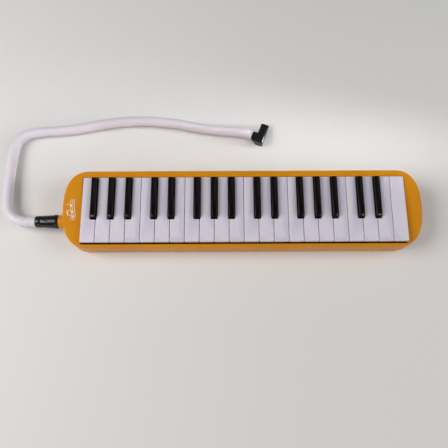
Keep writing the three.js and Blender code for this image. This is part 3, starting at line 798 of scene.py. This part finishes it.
def make_black_key(note):
    """A tapered black key: leaning sides, a sloped nose and softly rounded top edges."""
    low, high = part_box(key_node(note))
    x = cell_x(note)
    skirt = 30 * MM
    nose_low = high.z - 2.9 * MM
    nose_run = 3.0 * MM
    front_lean = 0.5 * MM
    rear_lean = 1.5 * MM
    rounding = 0.8 * MM
    half_base = BLACK_WIDTH / 2
    half_top = half_base - 0.3 * MM
    inner = half_base - KEY_WALL
    underside = nose_low - KEY_WALL

    def half_at(z):
        return half_base + (half_top - half_base) * max(0.0, (z - skirt) / (high.z - skirt))

    def front_at(z):
        if z <= nose_low:
            return low.y + front_lean * (z - skirt) / (nose_low - skirt)
        return low.y + front_lean + nose_run * (z - nose_low) / (high.z - nose_low)

    def rear_at(z):
        white_top = FIRST_HIGH.z
        return high.y - rear_lean * max(0.0, (z - white_top) / (high.z - white_top))

    def ring(z, radius, cut=0.0, soften=0.0):
        """A ring on the key's sides at a height, pulled in by cut all round."""
        front = front_at(z) + soften + 0.9 * cut
        return black_ring(x, half_at(z) - cut, front, rear_at(z) - cut, radius, z)

    inner_front = low.y + KEY_WALL + 0.6 * MM
    edge = 0.2 * MM
    rings = [
        black_ring(x, inner, inner_front, high.y - KEY_WALL, 0.3 * MM, underside),
        black_ring(x, inner, inner_front, high.y - KEY_WALL, 0.3 * MM, skirt),
        black_ring(x, half_base - edge, low.y + edge, high.y - edge, 0.8 * MM, skirt),
    ]
    for z in (skirt + edge, (skirt + nose_low) / 2, nose_low - 0.9 * MM, nose_low - 0.4 * MM):
        rings.append(ring(z, 0.9 * MM))
    soften = 0.12 * MM
    for share in (0, 0.25, 0.5):
        rings.append(ring(nose_low + (high.z - nose_low) * share, 1.0 * MM, soften=soften))
    for inward, up in arc_steps(5):
        rings.append(ring(high.z - rounding * (1 - up), 1.1 * MM, rounding * inward, soften))
    flat = rounding + 0.15 * MM
    front = front_at(high.z) + flat + soften
    rings.append(black_ring(x, half_top - flat, front, rear_at(high.z) - flat, 1.0 * MM, high.z))
    make_key(note, rings, underside, BLACK_KEY)


# ---------------------------------------------------------------- hose, plug and mouthpiece

PLUG_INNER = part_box("blow_socket")[0].x - FIT
PLUG_OUTER = PLUG_INNER - 28 * MM
HOSE_RADIUS = 6.3 * MM


def hose_points():
    """The hose's centre line: the same run of points that the CAD hose is drawn through."""
    start_x = PLUG_OUTER - FIT
    bend = 27 * MM
    bend_x = start_x - 12 * MM
    table = HOSE_END.z
    far_y = 112 * MM
    cuff = 8 * MM
    drop = PORT_Z - table
    points = [Vector((start_x, PORT_Y, PORT_Z)), Vector((start_x - cuff, PORT_Y, PORT_Z))]
    bends = (
        (PORT_Y + bend, 0.0, PORT_Z, PORT_Z - 0.5 * drop),
        (far_y - bend, math.pi / 2, table + 0.1 * drop, table),
    )
    for centre_y, first, from_z, to_z in bends:
        for step in range(4):
            share = step / 3
            angle = first + math.pi / 2 * share
            points.append(Vector((bend_x - bend * math.sin(angle), centre_y - bend * math.cos(angle),
                                  from_z + (to_z - from_z) * share)))
    last = HOSE_END - HOSE_END_AXIS * cuff
    arch = 17 * MM
    for share in (0.16, 0.32, 0.48, 0.64, 0.8):
        level = far_y + (last.y - far_y) * share
        points.append(Vector((bend_x + (last.x - bend_x) * share,
                              level + arch * math.sin(math.pi * share) ** 2, table)))
    points.append(last)
    points.append(HOSE_END.copy())
    return points


def curve_through(points):
    """A centripetal Catmull-Rom curve through the points."""
    per_span = 24
    ends = [points[0] * 2 - points[1], *points, points[-1] * 2 - points[-2]]
    result = []
    for i in range(1, len(ends) - 2):
        p0, p1, p2, p3 = ends[i - 1:i + 3]
        d0, d1, d2 = [math.sqrt((b - a).length) for a, b in ((p0, p1), (p1, p2), (p2, p3))]
        m1 = ((p1 - p0) / d0 - (p2 - p0) / (d0 + d1) + (p2 - p1) / d1) * d1
        m2 = ((p2 - p1) / d1 - (p3 - p1) / (d1 + d2) + (p3 - p2) / d2) * d1
        for step in range(per_span):
            t = step / per_span
            result.append(p1 * (2 * t ** 3 - 3 * t ** 2 + 1) + m1 * (t ** 3 - 2 * t ** 2 + t)
                          + p2 * (3 * t ** 2 - 2 * t ** 3) + m2 * (t ** 3 - t ** 2))
    result.append(points[-1].copy())
    return result


def walk(line, distances):
    """Points and directions at given distances along a polyline."""
    result = []
    travelled = 0.0
    i = 0
    for distance in distances:
        while i < len(line) - 2 and travelled + (line[i + 1] - line[i]).length < distance:
            travelled += (line[i + 1] - line[i]).length
            i += 1
        step = line[i + 1] - line[i]
        share = (distance - travelled) / step.length
        before = line[max(i - 1, 0)]
        after = line[min(i + 2, len(line) - 1)]
        result.append((line[i] + step * share, (after - before).normalized()))
    return result


def ring_around(centre, direction, radius, sides):
    """A ring square to a direction that is never straight up, starting from its level side."""
    side = direction.cross(Vector(Z_AXIS)).normalized()
    up = side.cross(direction).normalized()
    ring = []
    for i in range(sides):
        angle = TURN * i / sides
        ring.append(centre + (side * math.cos(angle) + up * math.sin(angle)) * radius)
    return ring


def sweep(stations, radii, sides):
    """Rings of the given radii along the stations."""
    return [ring_around(centre, direction, radius, sides)
            for (centre, direction), radius in zip(stations, radii)]


def make_hose():
    """A smooth milky tube whose two ends carry finely ribbed cuffs."""
    line = curve_through(hose_points())
    length = sum((b - a).length for a, b in zip(line, line[1:]))
    bore = 4.2 * MM
    cuff = 18 * MM
    rib = 2.2 * MM
    distances = []
    radii = []
    at = 0.0
    while at < length:
        from_end = min(at, length - at)
        distances.append(at)
        if from_end < cuff:
            ripple = 0.2 * MM * math.cos(TURN * from_end / rib)
            radii.append(HOSE_RADIUS + 0.1 * MM + ripple - 0.3 * MM * max(0.0, 1 - from_end / (0.5 * MM)))
            at += rib / 8
        else:
            radii.append(HOSE_RADIUS)
            at += 1.8 * MM
    distances.append(length)
    radii.append(HOSE_RADIUS - 0.2 * MM)
    sides = 40
    outer = sweep(walk(line, distances), radii, sides)
    bore_steps = 160
    bore_distances = [length * i / bore_steps for i in range(bore_steps + 1)]
    inner = sweep(walk(line, bore_distances), [bore] * (bore_steps + 1), sides)
    hose = solid("hose_tube", loft([*outer, *reversed(inner)], closed=True))
    finish_piece(hose, "hose", HOSE)


def make_blow_socket():
    """The tube the plug pushes into, its flange inside the case and the spigot to the chamber."""
    low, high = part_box("blow_socket")
    centre = (0, PORT_Y, PORT_Z)
    radius, bore = SOCKET_RADIUS, SOCKET_BORE
    flange_face = LOWER_LOW.x + 5 * MM
    flange_back = flange_face + 2.4 * MM
    flange = 10.5 * MM
    edge = 0.3 * MM
    profile = [
        (low.x, bore + 0.7 * MM), (low.x, radius - 0.9 * MM), (low.x + edge, radius - 0.35 * MM),
        (low.x + 0.9 * MM, radius), (flange_face, radius),
        (flange_face, flange - edge), (flange_face + edge, flange), (flange_back - edge, flange),
        (flange_back, flange - edge), (flange_back, bore), (low.x + 0.7 * MM, bore),
    ]
    socket = solid("blow_socket_tube", lathe(profile, centre, X_AXIS, 64, closed=True))
    spigot_centre = (0, PORT_Y, 10.4 * MM)
    end_wall = rod(7 * MM, flange_back - 1.6 * MM, flange_back, centre, X_AXIS)
    spigot = rod(4.1 * MM, flange_back - MM, high.x, spigot_centre, X_AXIS)
    passage = rod(3 * MM, flange_back - 3 * MM, high.x + MM, spigot_centre, X_AXIS)
    combine(socket, "UNION", [end_wall, spigot])
    combine(socket, "DIFFERENCE", [passage])
    finish_piece(socket, "blow_socket", ORANGE)


def barrel_radius(x):
    """The plug's barrel widens evenly from the hose towards the socket."""
    slim, full = 7.1 * MM, 8.4 * MM
    return slim + (full - slim) * (x - PLUG_OUTER) / (PLUG_INNER - PLUG_OUTER)


def make_hose_plug():
    """The black plug: nipple, tapered barrel with a groove and a rim, and the barb in the hose."""
    low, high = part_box("hose_plug")
    centre = (0, PORT_Y, PORT_Z)
    nipple, barb, bore = SOCKET_BORE - FIT, 3.4 * MM, 2.4 * MM
    profile = [(low.x, bore + 0.2 * MM), (low.x, barb - 0.5 * MM)]
    tooth = (PLUG_OUTER - low.x) / 3
    for index in range(3):
        start = low.x + tooth * index
        profile.append((start + 0.3 * MM, barb - 0.4 * MM))
        profile.append((start + tooth - 0.4 * MM, barb))
    corner = barrel_radius(PLUG_OUTER)
    profile += [(PLUG_OUTER, barb - 0.1 * MM), (PLUG_OUTER, corner - 0.8 * MM),
                (PLUG_OUTER + 0.25 * MM, corner - 0.3 * MM), (PLUG_OUTER + 0.8 * MM, corner)]
    groove = PLUG_OUTER + 6 * MM
    for along, depth in ((0, 0), (0.3, 0.15), (0.4, 0.7), (1.0, 0.7), (1.1, 0.15), (1.4, 0)):
        at = groove + along * MM
        profile.append((at, barrel_radius(at) - depth * MM))
    rim = PLUG_INNER - 4.5 * MM
    for along, rise in ((0, 0), (0.2, 0.4), (0.6, 0.5), (1.4, 0.5), (1.8, 0.4), (2.0, 0)):
        at = rim + along * MM
        profile.append((at, barrel_radius(at) + rise * MM))
    mouth = barrel_radius(PLUG_INNER)
    profile += [(PLUG_INNER - 0.8 * MM, mouth), (PLUG_INNER - 0.25 * MM, mouth - 0.3 * MM),
                (PLUG_INNER, mouth - 0.8 * MM), (PLUG_INNER, nipple), (high.x - 1.2 * MM, nipple),
                (high.x - 0.3 * MM, nipple - 0.5 * MM), (high.x, nipple - 0.8 * MM),
                (high.x, bore + 0.4 * MM), (high.x - 0.4 * MM, bore), (low.x + 0.2 * MM, bore)]
    plug = solid("hose_plug_body", lathe(profile, centre, X_AXIS, 64, closed=True))
    combine(plug, "DIFFERENCE", [plug_mark_shell(groove + 2.6 * MM)])
    finish_piece(plug, "hose_plug", BLACK)


def plug_mark_shell(start):
    """A shallow triangular hollow on top of the barrel, pointed at its hose end."""
    long, half = 7.5 * MM, 2.4 * MM
    corners = [(start, PORT_Y), (start + long, PORT_Y - half), (start + long, PORT_Y + half)]
    ring = [tuple(point) for point in round_corners(corners, [0.3 * MM, 0.5 * MM, 0.5 * MM], 3)]
    top = PORT_Z + barrel_radius(start)
    return loft([at_height(ring, top - 0.6 * MM), at_height(ring, top + 3 * MM)])


def mouthpiece_place():
    """Turns the mouthpiece's own axes into the frame: the hose arrives along its +X."""
    along = HOSE_END_AXIS
    up = Vector(Z_AXIS)
    side = up.cross(along)
    place = Matrix((along, side, up)).transposed().to_4x4()
    return Matrix.Translation(HOSE_END) @ place


NECK_RADIUS = 5.7 * MM
ELBOW_HALF = 5.7 * MM
ELBOW_X = 11.6 * MM
ELBOW_FRONT = -9 * MM
ELBOW_REAR = 4.6 * MM
ELBOW_BORE = 3.8 * MM
BAR_FULLNESS = 3.6


def turned(shell, place):
    verts, faces = shell
    return [place @ Vector(v) for v in verts], faces


def bar_ring(y, half_x, half_z, fullness=BAR_FULLNESS):
    """One section of a bar along the mouthpiece's Y: round at 2, squarer as fullness grows."""
    sides = 72
    points = []
    for i in range(sides):
        angle = TURN * i / sides
        c, s = math.cos(angle), math.sin(angle)
        x = math.copysign(abs(c) ** (2 / fullness), c) * half_x
        z = math.copysign(abs(s) ** (2 / fullness), s) * half_z
        points.append(Vector((ELBOW_X + x, y, z)))
    return points


def make_mouthpiece_elbow():
    """A squarish bar closed at one end, with the hose's round neck and a slanted web."""
    place = mouthpiece_place()
    edge = 0.9 * MM
    flat = ELBOW_HALF - edge - 0.2 * MM
    rings = [bar_ring(ELBOW_FRONT, flat, flat)]
    for inward, up in reversed(arc_steps(5)):
        half = ELBOW_HALF - edge * inward
        rings.append(bar_ring(ELBOW_FRONT + edge * (1 - up), half, half))
    lip = 0.35 * MM
    rings.append(bar_ring(ELBOW_REAR - lip, ELBOW_HALF, ELBOW_HALF))
    rings.append(bar_ring(ELBOW_REAR, ELBOW_HALF - lip, ELBOW_HALF - lip))
    elbow = solid("mouthpiece_elbow_body", turned(loft(rings), place))
    side = ELBOW_X - ELBOW_HALF
    bead = 0.3 * MM
    neck_profile = [(FIT, NECK_RADIUS - 0.5 * MM), (FIT + 0.4 * MM, NECK_RADIUS), (1.9 * MM, NECK_RADIUS),
                    (2.2 * MM, NECK_RADIUS - bead), (2.8 * MM, NECK_RADIUS - bead),
                    (3.1 * MM, NECK_RADIUS), (side + FIT / 2, NECK_RADIUS)]
    neck = lathe(neck_profile, (0, 0, 0), X_AXIS, 56)
    web_top = MM - NECK_RADIUS
    web_plan = [(FIT + 0.4 * MM, web_top), (FIT + 0.4 * MM, web_top - 0.7 * MM),
                (side + 0.1 * MM, ELBOW_FRONT + 0.7 * MM), (side + MM, web_top)]
    half_web = NECK_RADIUS / 2
    web = prism(web_plan, -half_web, half_web, lambda u, v, w: Vector((u, v, w)))
    barb = rod(3.4 * MM, -7 * MM, FIT + MM, (0, 0, 0), X_AXIS, 40)
    bore = rod(ELBOW_BORE, ELBOW_FRONT + WALL, ELBOW_REAR + MM, (ELBOW_X, 0, 0), Y_AXIS, 40)
    airway = rod(2.4 * MM, -8 * MM, ELBOW_X, (0, 0, 0), X_AXIS, 32)
    combine(elbow, "UNION", [turned(shell, place) for shell in (neck, web, barb)])
    combine(elbow, "DIFFERENCE", [turned(shell, place) for shell in (bore, airway)])
    finish_piece(elbow, "mouthpiece_elbow", BLACK)


def make_mouthpiece_tip():
    """The lip piece: square at its foot, flattened towards a beaded end with a slot through it."""
    place = mouthpiece_place()
    base = ELBOW_REAR + FIT
    length = 14.7 * MM
    half = 5.4 * MM
    blade = 2.1 * MM
    spigot = ELBOW_BORE - FIT
    start = ELBOW_REAR - 4.5 * MM
    edge = 0.4 * MM
    rings = []
    for y, reach, fullness in (
        (start, spigot - 2 * edge, 2), (start, spigot - edge, 2), (start + edge, spigot, 2),
        (base, spigot, 2), (base, half - edge, BAR_FULLNESS), (base + edge, half, BAR_FULLNESS),
    ):
        rings.append(bar_ring(y, reach, reach, fullness))
    steps = 16
    for step in range(steps + 1):
        share = step / steps
        ease = share * share * (3 - 2 * share)
        y = base + 1.6 * MM + (length - 3.4 * MM) * share
        rings.append(bar_ring(y, half - 0.2 * MM * ease, half + (blade - half) * ease))
    end = base + length
    for back, inset in ((1.5, 0.1), (0.8, 0.0), (0.25, 0.15), (0, 0.5)):
        rings.append(bar_ring(end - back * MM, half - inset * MM, blade + (0.2 - inset) * MM))
    rings += [bar_ring(end, 3.2 * MM, 0.95 * MM, 4), bar_ring(end - MM, 3.0 * MM, 0.8 * MM, 4),
              bar_ring(base + 4 * MM, 2.8 * MM, 1.2 * MM, 3), bar_ring(base, 2.3 * MM, 2.3 * MM, 2),
              bar_ring(start + 0.2 * MM, 2.4 * MM, 2.4 * MM, 2)]
    tip = solid("mouthpiece_tip_body", turned(loft(rings, closed=True), place))
    finish_piece(tip, "mouthpiece_tip", BLACK)


# ---------------------------------------------------------------- screws, valve, strap and felt


def make_screw(node):
    """A pan-head screw with a crossed slot in its head and a ridged shank."""
    low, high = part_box(node)
    x, y, _ = box_centre(node)
    head = 3 * MM
    head_top = low.z + 2.3 * MM
    profile = [(low.z, 0.05 * MM), (low.z, head - 0.9 * MM), (low.z + 0.2 * MM, head - 0.35 * MM),
               (low.z + 0.7 * MM, head), (head_top - 0.2 * MM, head), (head_top, head - 0.2 * MM),
               (head_top, SCREW_RADIUS - 0.3 * MM)]
    pitch = 1.2 * MM
    at = head_top + 1.5 * MM
    while at < high.z - 3 * MM:
        profile += [(at, SCREW_RADIUS - 0.35 * MM), (at + 0.45 * pitch, SCREW_RADIUS),
                    (at + 0.55 * pitch, SCREW_RADIUS), (at + 0.95 * pitch, SCREW_RADIUS - 0.35 * MM)]
        at += pitch
    profile += [(high.z - 1.5 * MM, SCREW_RADIUS - 0.4 * MM), (high.z, 0.1 * MM)]
    screw = solid(f"{node}_body", lathe(profile, (x, y, 0), Z_AXIS, 32))
    long, narrow = 1.7 * MM, 0.38 * MM
    bottom, depth = low.z - MM, low.z + 1.2 * MM
    slots = [block((x - half_x, y - half_y, bottom), (x + half_x, y + half_y, depth))
             for half_x, half_y in ((long, narrow), (narrow, long))]
    combine(screw, "DIFFERENCE", slots)
    finish_piece(screw, node, STEEL)


def make_drain_valve():
    """The drain button with its stem and knob, the rubber seal around the stem, and the spring."""
    low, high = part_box("drain_button")
    x = box_centre("drain_button").x
    radius = (high.x - low.x) / 2
    seal_low, seal_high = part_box("drain_seal")
    cap_top = 2 * MM
    stem = 1.5 * MM
    head = seal_high.z + FIT
    knob = 2.6 * MM
    dish = low.z + 0.25 * MM
    profile = [(dish, 0.05 * MM), (dish, radius * 0.55), (low.z, radius * 0.72),
               (low.z, radius - 0.5 * MM), (low.z + 0.15 * MM, radius - 0.15 * MM),
               (low.z + 0.5 * MM, radius), (cap_top, radius), (cap_top, stem), (head, stem),
               (head, knob - 0.2 * MM), (head + 0.15 * MM, knob), (high.z - 0.2 * MM, knob),
               (high.z, knob - 0.3 * MM), (high.z, 0.05 * MM)]
    button = solid("drain_button_body", lathe(profile, (x, 0, 0), Z_AXIS, 48))
    finish_piece(button, "drain_button", BLACK)
    outer = (seal_high.x - seal_low.x) / 2
    hole = stem + FIT
    edge = 0.2 * MM
    ring = [(seal_low.z, hole), (seal_low.z, outer - edge), (seal_low.z + edge, outer),
            (seal_high.z - edge, outer), (seal_high.z, outer - edge), (seal_high.z, hole)]
    seal = solid("drain_seal_ring", lathe(ring, (x, 0, 0), Z_AXIS, 48, closed=True))
    finish_piece(seal, "drain_seal", RUBBER)
    make_drain_spring(x)


def make_drain_spring(x):
    """A coil of round wire with closed end turns."""
    low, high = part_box("drain_spring")
    wire = 0.28 * MM
    coil = 2.6 * MM
    turns = 4.0
    count = 160
    stations = []
    for i in range(count + 1):
        share = i / count
        rise = share + 0.08 * math.sin(TURN * share)
        angle = TURN * turns * share
        z = low.z + wire + (high.z - low.z - 2 * wire) * min(max(rise, 0.0), 1.0)
        stations.append(Vector((x + coil * math.cos(angle), coil * math.sin(angle), z)))
    rings = []
    for i, centre in enumerate(stations):
        direction = (stations[min(i + 1, count)] - stations[max(i - 1, 0)]).normalized()
        rings.append(ring_around(centre, direction, wire, 10))
    spring = solid("drain_spring_coil", loft(rings))
    finish_piece(spring, "drain_spring", STEEL)
    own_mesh(spring)


def make_hand_strap():
    """Flat webbing: ribs across the band, rolled edges, and stitched ends."""
    low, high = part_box("hand_strap")
    centre = (low + high) / 2
    half = (high.y - low.y) / 2
    thick = (high.z - low.z) / 2
    rib = 1.7 * MM
    across = 26
    rings = []
    count = int((high.x - low.x) / (rib / 4))
    for i in range(count + 1):
        x = low.x + (high.x - low.x) * i / count
        ripple = 0.10 * MM * math.cos(TURN * (x - low.x) / rib)
        end = min(x - low.x, high.x - x)
        close = 0.55 + 0.45 * min(1.0, end / (0.8 * MM))
        ring = []
        for side in (1, -1):
            for step in range(across + 1):
                share = -1 + 2 * step / across
                edge = (1 - abs(share) ** 8) ** 0.5
                warp = 0.05 * MM * math.cos(TURN * 9 * share)
                z = side * (thick - 0.15 * MM + ripple + warp) * (0.35 + 0.65 * edge) * close
                ring.append(Vector((x, centre.y - side * share * half, centre.z - z)))
        rings.append(ring)
    strap = solid("hand_strap_webbing", loft(rings))
    finish_piece(strap, "hand_strap", WEBBING, sharp=60)


def make_strap_stitches():
    """A box of thread stitches at each end of the strap, on its outer face."""
    low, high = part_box("hand_strap")
    build = Build()
    z = low.z + 0.05 * MM
    length, width = 1.9 * MM, 0.22 * MM
    inset = 4 * MM
    box_length = 13 * MM
    box_width = high.y - low.y - 2 * inset
    along_box, across_box = 6, 8

    def stitch(x, y, angle):
        direction = Vector((math.cos(angle), math.sin(angle), 0))
        rings = []
        for i in range(7):
            share = i / 6
            lift = 0.16 * MM * math.sin(math.pi * share)
            swell = width * (0.45 + 0.55 * math.sin(math.pi * share))
            centre = Vector((x, y, z - lift)) + direction * (length * (share - 0.5))
            rings.append(ring_around(centre, direction, swell, 8))
        build.add(*loft(rings))

    for start in (low.x + inset, high.x - inset - box_length):
        for row in (low.y + inset, high.y - inset):
            for i in range(along_box):
                stitch(start + box_length * (i + 0.5) / along_box, row, 0)
        for column in (start, start + box_length):
            for i in range(across_box):
                stitch(column, low.y + inset + box_width * (i + 0.5) / across_box, math.pi / 2)
    stitches = new_object("hand_strap_stitches", build.mesh("hand_strap_stitches"))
    stitches.data.materials.append(WEBBING)
    stitches.data.shade_smooth()
    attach(stitches, BODY_OF["hand_strap"])


def make_felt():
    """The stop strip under the key fronts, with a soft uneven surface and rounded edges."""
    low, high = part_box("key_stop_felt")
    count = 240
    rings = []
    for i in range(count + 1):
        x = low.x + (high.x - low.x) * i / count
        wobble = 0.06 * MM * math.sin(i * 1.7) + 0.05 * MM * math.sin(i * 0.61)
        end = 0.5 * MM if i in (0, count) else 0.0
        front, rear = low.y + end, high.y - end + wobble
        bottom, top = low.z + end / 2, high.z - end - abs(wobble)
        ring = box_ring((front, bottom), (rear, top), 0.4 * MM, 3)
        rings.append([Vector((x, y, z)) for y, z in ring])
    felt = solid("key_stop_felt_strip", loft(rings))
    finish_piece(felt, "key_stop_felt", FELT)


def make_axle():
    low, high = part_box("key_axle")
    radius = 1.0 * MM
    profile = [(low.x, 0.05 * MM), (low.x, radius - 0.2 * MM), (low.x + 0.2 * MM, radius),
               (high.x - 0.2 * MM, radius), (high.x, radius - 0.2 * MM), (high.x, 0.05 * MM)]
    axle = solid("key_axle_rod", lathe(profile, (0, PIVOT_Y, PIVOT_Z), X_AXIS, 32))
    finish_piece(axle, "key_axle", STEEL)


def dress_inner_parts():
    """The hidden flat parts keep their CAD shape, with broken edges and real materials."""
    finishes = {
        "key_bed": (GREY, 0.25 * MM),
        "chamber_cover": (GREY, 0.4 * MM),
        "chamber_gasket": (RUBBER, 0.15 * MM),
        "reed_plate_low": (BRASS, 0.08 * MM),
        "reed_plate_high": (BRASS, 0.08 * MM),
        "spring_comb": (STEEL, 0.08 * MM),
    }
    for node, (material, width) in finishes.items():
        obj = frame["nodes"][node]
        obj.data.materials.clear()
        obj.data.materials.append(material)
        bevel = obj.modifiers.new("edge", "BEVEL")
        bevel.width = width
        bevel.segments = 2
        bevel.limit_method = "ANGLE"
        bevel.angle_limit = math.radians(40)
        bevel.use_clamp_overlap = True


# ---------------------------------------------------------------- printed mark


def make_cheek_mark():
    """A plain music-note ornament printed on the left cheek, read from the player's left."""
    build = Build()
    centre = Vector(((LOWER_LOW.x + OPENING_LOW[0]) / 2, -1.5 * MM, 0))
    lift, sink = 0.05 * MM, 0.1 * MM

    def place(u, v, w):
        """u runs up the mark towards the rear, v across it towards the left end."""
        x, y = centre.x - v, centre.y + u
        return Vector((x, y, top_z(y) + w))

    def strip(line, half):
        points = []
        for side in (1, -1):
            order = line if side > 0 else line[::-1]
            for i, point in enumerate(order):
                ahead = order[min(i + 1, len(order) - 1)] - order[max(i - 1, 0)]
                normal = Vector((-ahead.y, ahead.x)).normalized()
                points.append(tuple(point + normal * half))
        build.add(*prism(points, -sink, lift, place))

    def disc(centre_u, centre_v, long, short, lean):
        points = []
        for i in range(28):
            angle = TURN * i / 28
            spot = Matrix.Rotation(lean, 2) @ Vector((long * math.cos(angle), short * math.sin(angle)))
            points.append((centre_u + spot.x, centre_v + spot.y))
        build.add(*prism(points, -sink, lift, place))

    half_line, steps = 13, 40
    for row in (-3.3, -1.1, 1.1):
        line = []
        for i in range(steps + 1):
            u = -half_line + 2 * half_line * i / steps
            line.append(Vector((u, row + 0.9 * math.sin(u * 0.24))) * MM)
        strip(line, 0.27 * MM)
    stem_side, stem_length = 1.45, 6.2
    for u, v in ((-8.2, -1.6), (-2.4, -0.2), (5.0, 0.6)):
        disc(u * MM, v * MM, 1.65 * MM, 1.15 * MM, 0.4)
        stem = [Vector((u + stem_side, v)) * MM, Vector((u + stem_side, v + stem_length)) * MM]
        strip(stem, 0.26 * MM)
    beam = [Vector((-6.95, 4.5)) * MM, Vector((-0.75, 5.9)) * MM]
    strip(beam, 0.6 * MM)
    mark = new_object("cheek_print", build.mesh("cheek_print"))
    mark.data.materials.append(PRINT)
    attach(mark, BODY_OF["upper_case"])


# ---------------------------------------------------------------- stage, light and camera


def make_stage():
    bpy.ops.mesh.primitive_plane_add(size=6, location=(0, 0, 0))
    floor = bpy.context.object
    floor.name = "floor"
    nodes = Nodes("floor_paper")
    base = nodes.mix(nodes.noise(3, 2), (0.80, 0.79, 0.77), (0.77, 0.76, 0.745))
    floor.data.materials.append(nodes.finish(base, 0.7))


def area_light(name, location, target, size, power, colour=(1, 1, 1), spread=180):
    data = bpy.data.lights.new(name, "AREA")
    data.shape = "RECTANGLE"
    data.size, data.size_y = size
    data.energy = power
    data.color = colour
    data.spread = math.radians(spread)
    light = bpy.data.objects.new(name, data)
    light.location = location
    direction = Vector(target) - Vector(location)
    light.rotation_euler = direction.to_track_quat("-Z", "Y").to_euler()
    bpy.context.scene.collection.objects.link(light)


def make_lights():
    middle = (0, 0, 0.03)
    area_light("left_softbox", (-1.05, -0.05, 1.0), middle, (0.9, 0.9), 14.2, (1.0, 0.985, 0.97))
    area_light("right_softbox", (1.1, -0.05, 0.95), middle, (0.9, 0.9), 7.6, (0.97, 0.98, 1.0))
    for name, x in (("front_left_light", -0.6), ("front_right_light", 0.7)):
        area_light(name, (x, -1.5, 0.52), middle, (0.3, 0.3), 2.2)
    low_side = HOSE_END + Vector((0.5, -0.04, 0.1))
    area_light("mouthpiece_edge_light", low_side, HOSE_END, (0.08, 0.08), 0.05, spread=20)
    world = bpy.data.worlds.new("studio")
    world.use_nodes = True
    background = world.node_tree.nodes["Background"]
    background.inputs["Color"].default_value = (0.93, 0.95, 1.0, 1.0)
    background.inputs["Strength"].default_value = 0.13
    bpy.context.scene.world = world


def make_camera():
    """The photograph's view: high over the player's side, square to the keyboard."""
    elevation = math.radians(75)
    distance = 608 * MM
    target = Vector((-22.1 * MM, -21.4 * MM, FIRST_HIGH.z))
    data = bpy.data.cameras.new("camera")
    data.sensor_width = 36
    data.lens = 41.4
    camera = bpy.data.objects.new("camera", data)
    back = Vector((0, -math.cos(elevation), math.sin(elevation)))
    camera.location = target + back * distance
    camera.rotation_euler = (math.pi / 2 - elevation, 0, 0)
    camera.rotation_euler.rotate_axis("Z", math.radians(-0.27))
    data.clip_start = 0.01
    data.clip_end = 50
    bpy.context.scene.collection.objects.link(camera)
    bpy.context.scene.camera = camera
    bpy.context.scene.view_settings.view_transform = "Standard"


# ---------------------------------------------------------------- build everything

make_upper_case()
make_lower_case()
for white_note in WHITE_NOTES:
    make_white_key(white_note)
for black_note in BLACK_NOTES:
    make_black_key(black_note)
make_blow_socket()
make_hose_plug()
make_hose()
make_mouthpiece_elbow()
make_mouthpiece_tip()
for screw_node in SCREW_NODES:
    make_screw(screw_node)
make_drain_valve()
make_hand_strap()
make_strap_stitches()
make_felt()
make_axle()
dress_inner_parts()
make_cheek_mark()
make_stage()
make_lights()
make_camera()
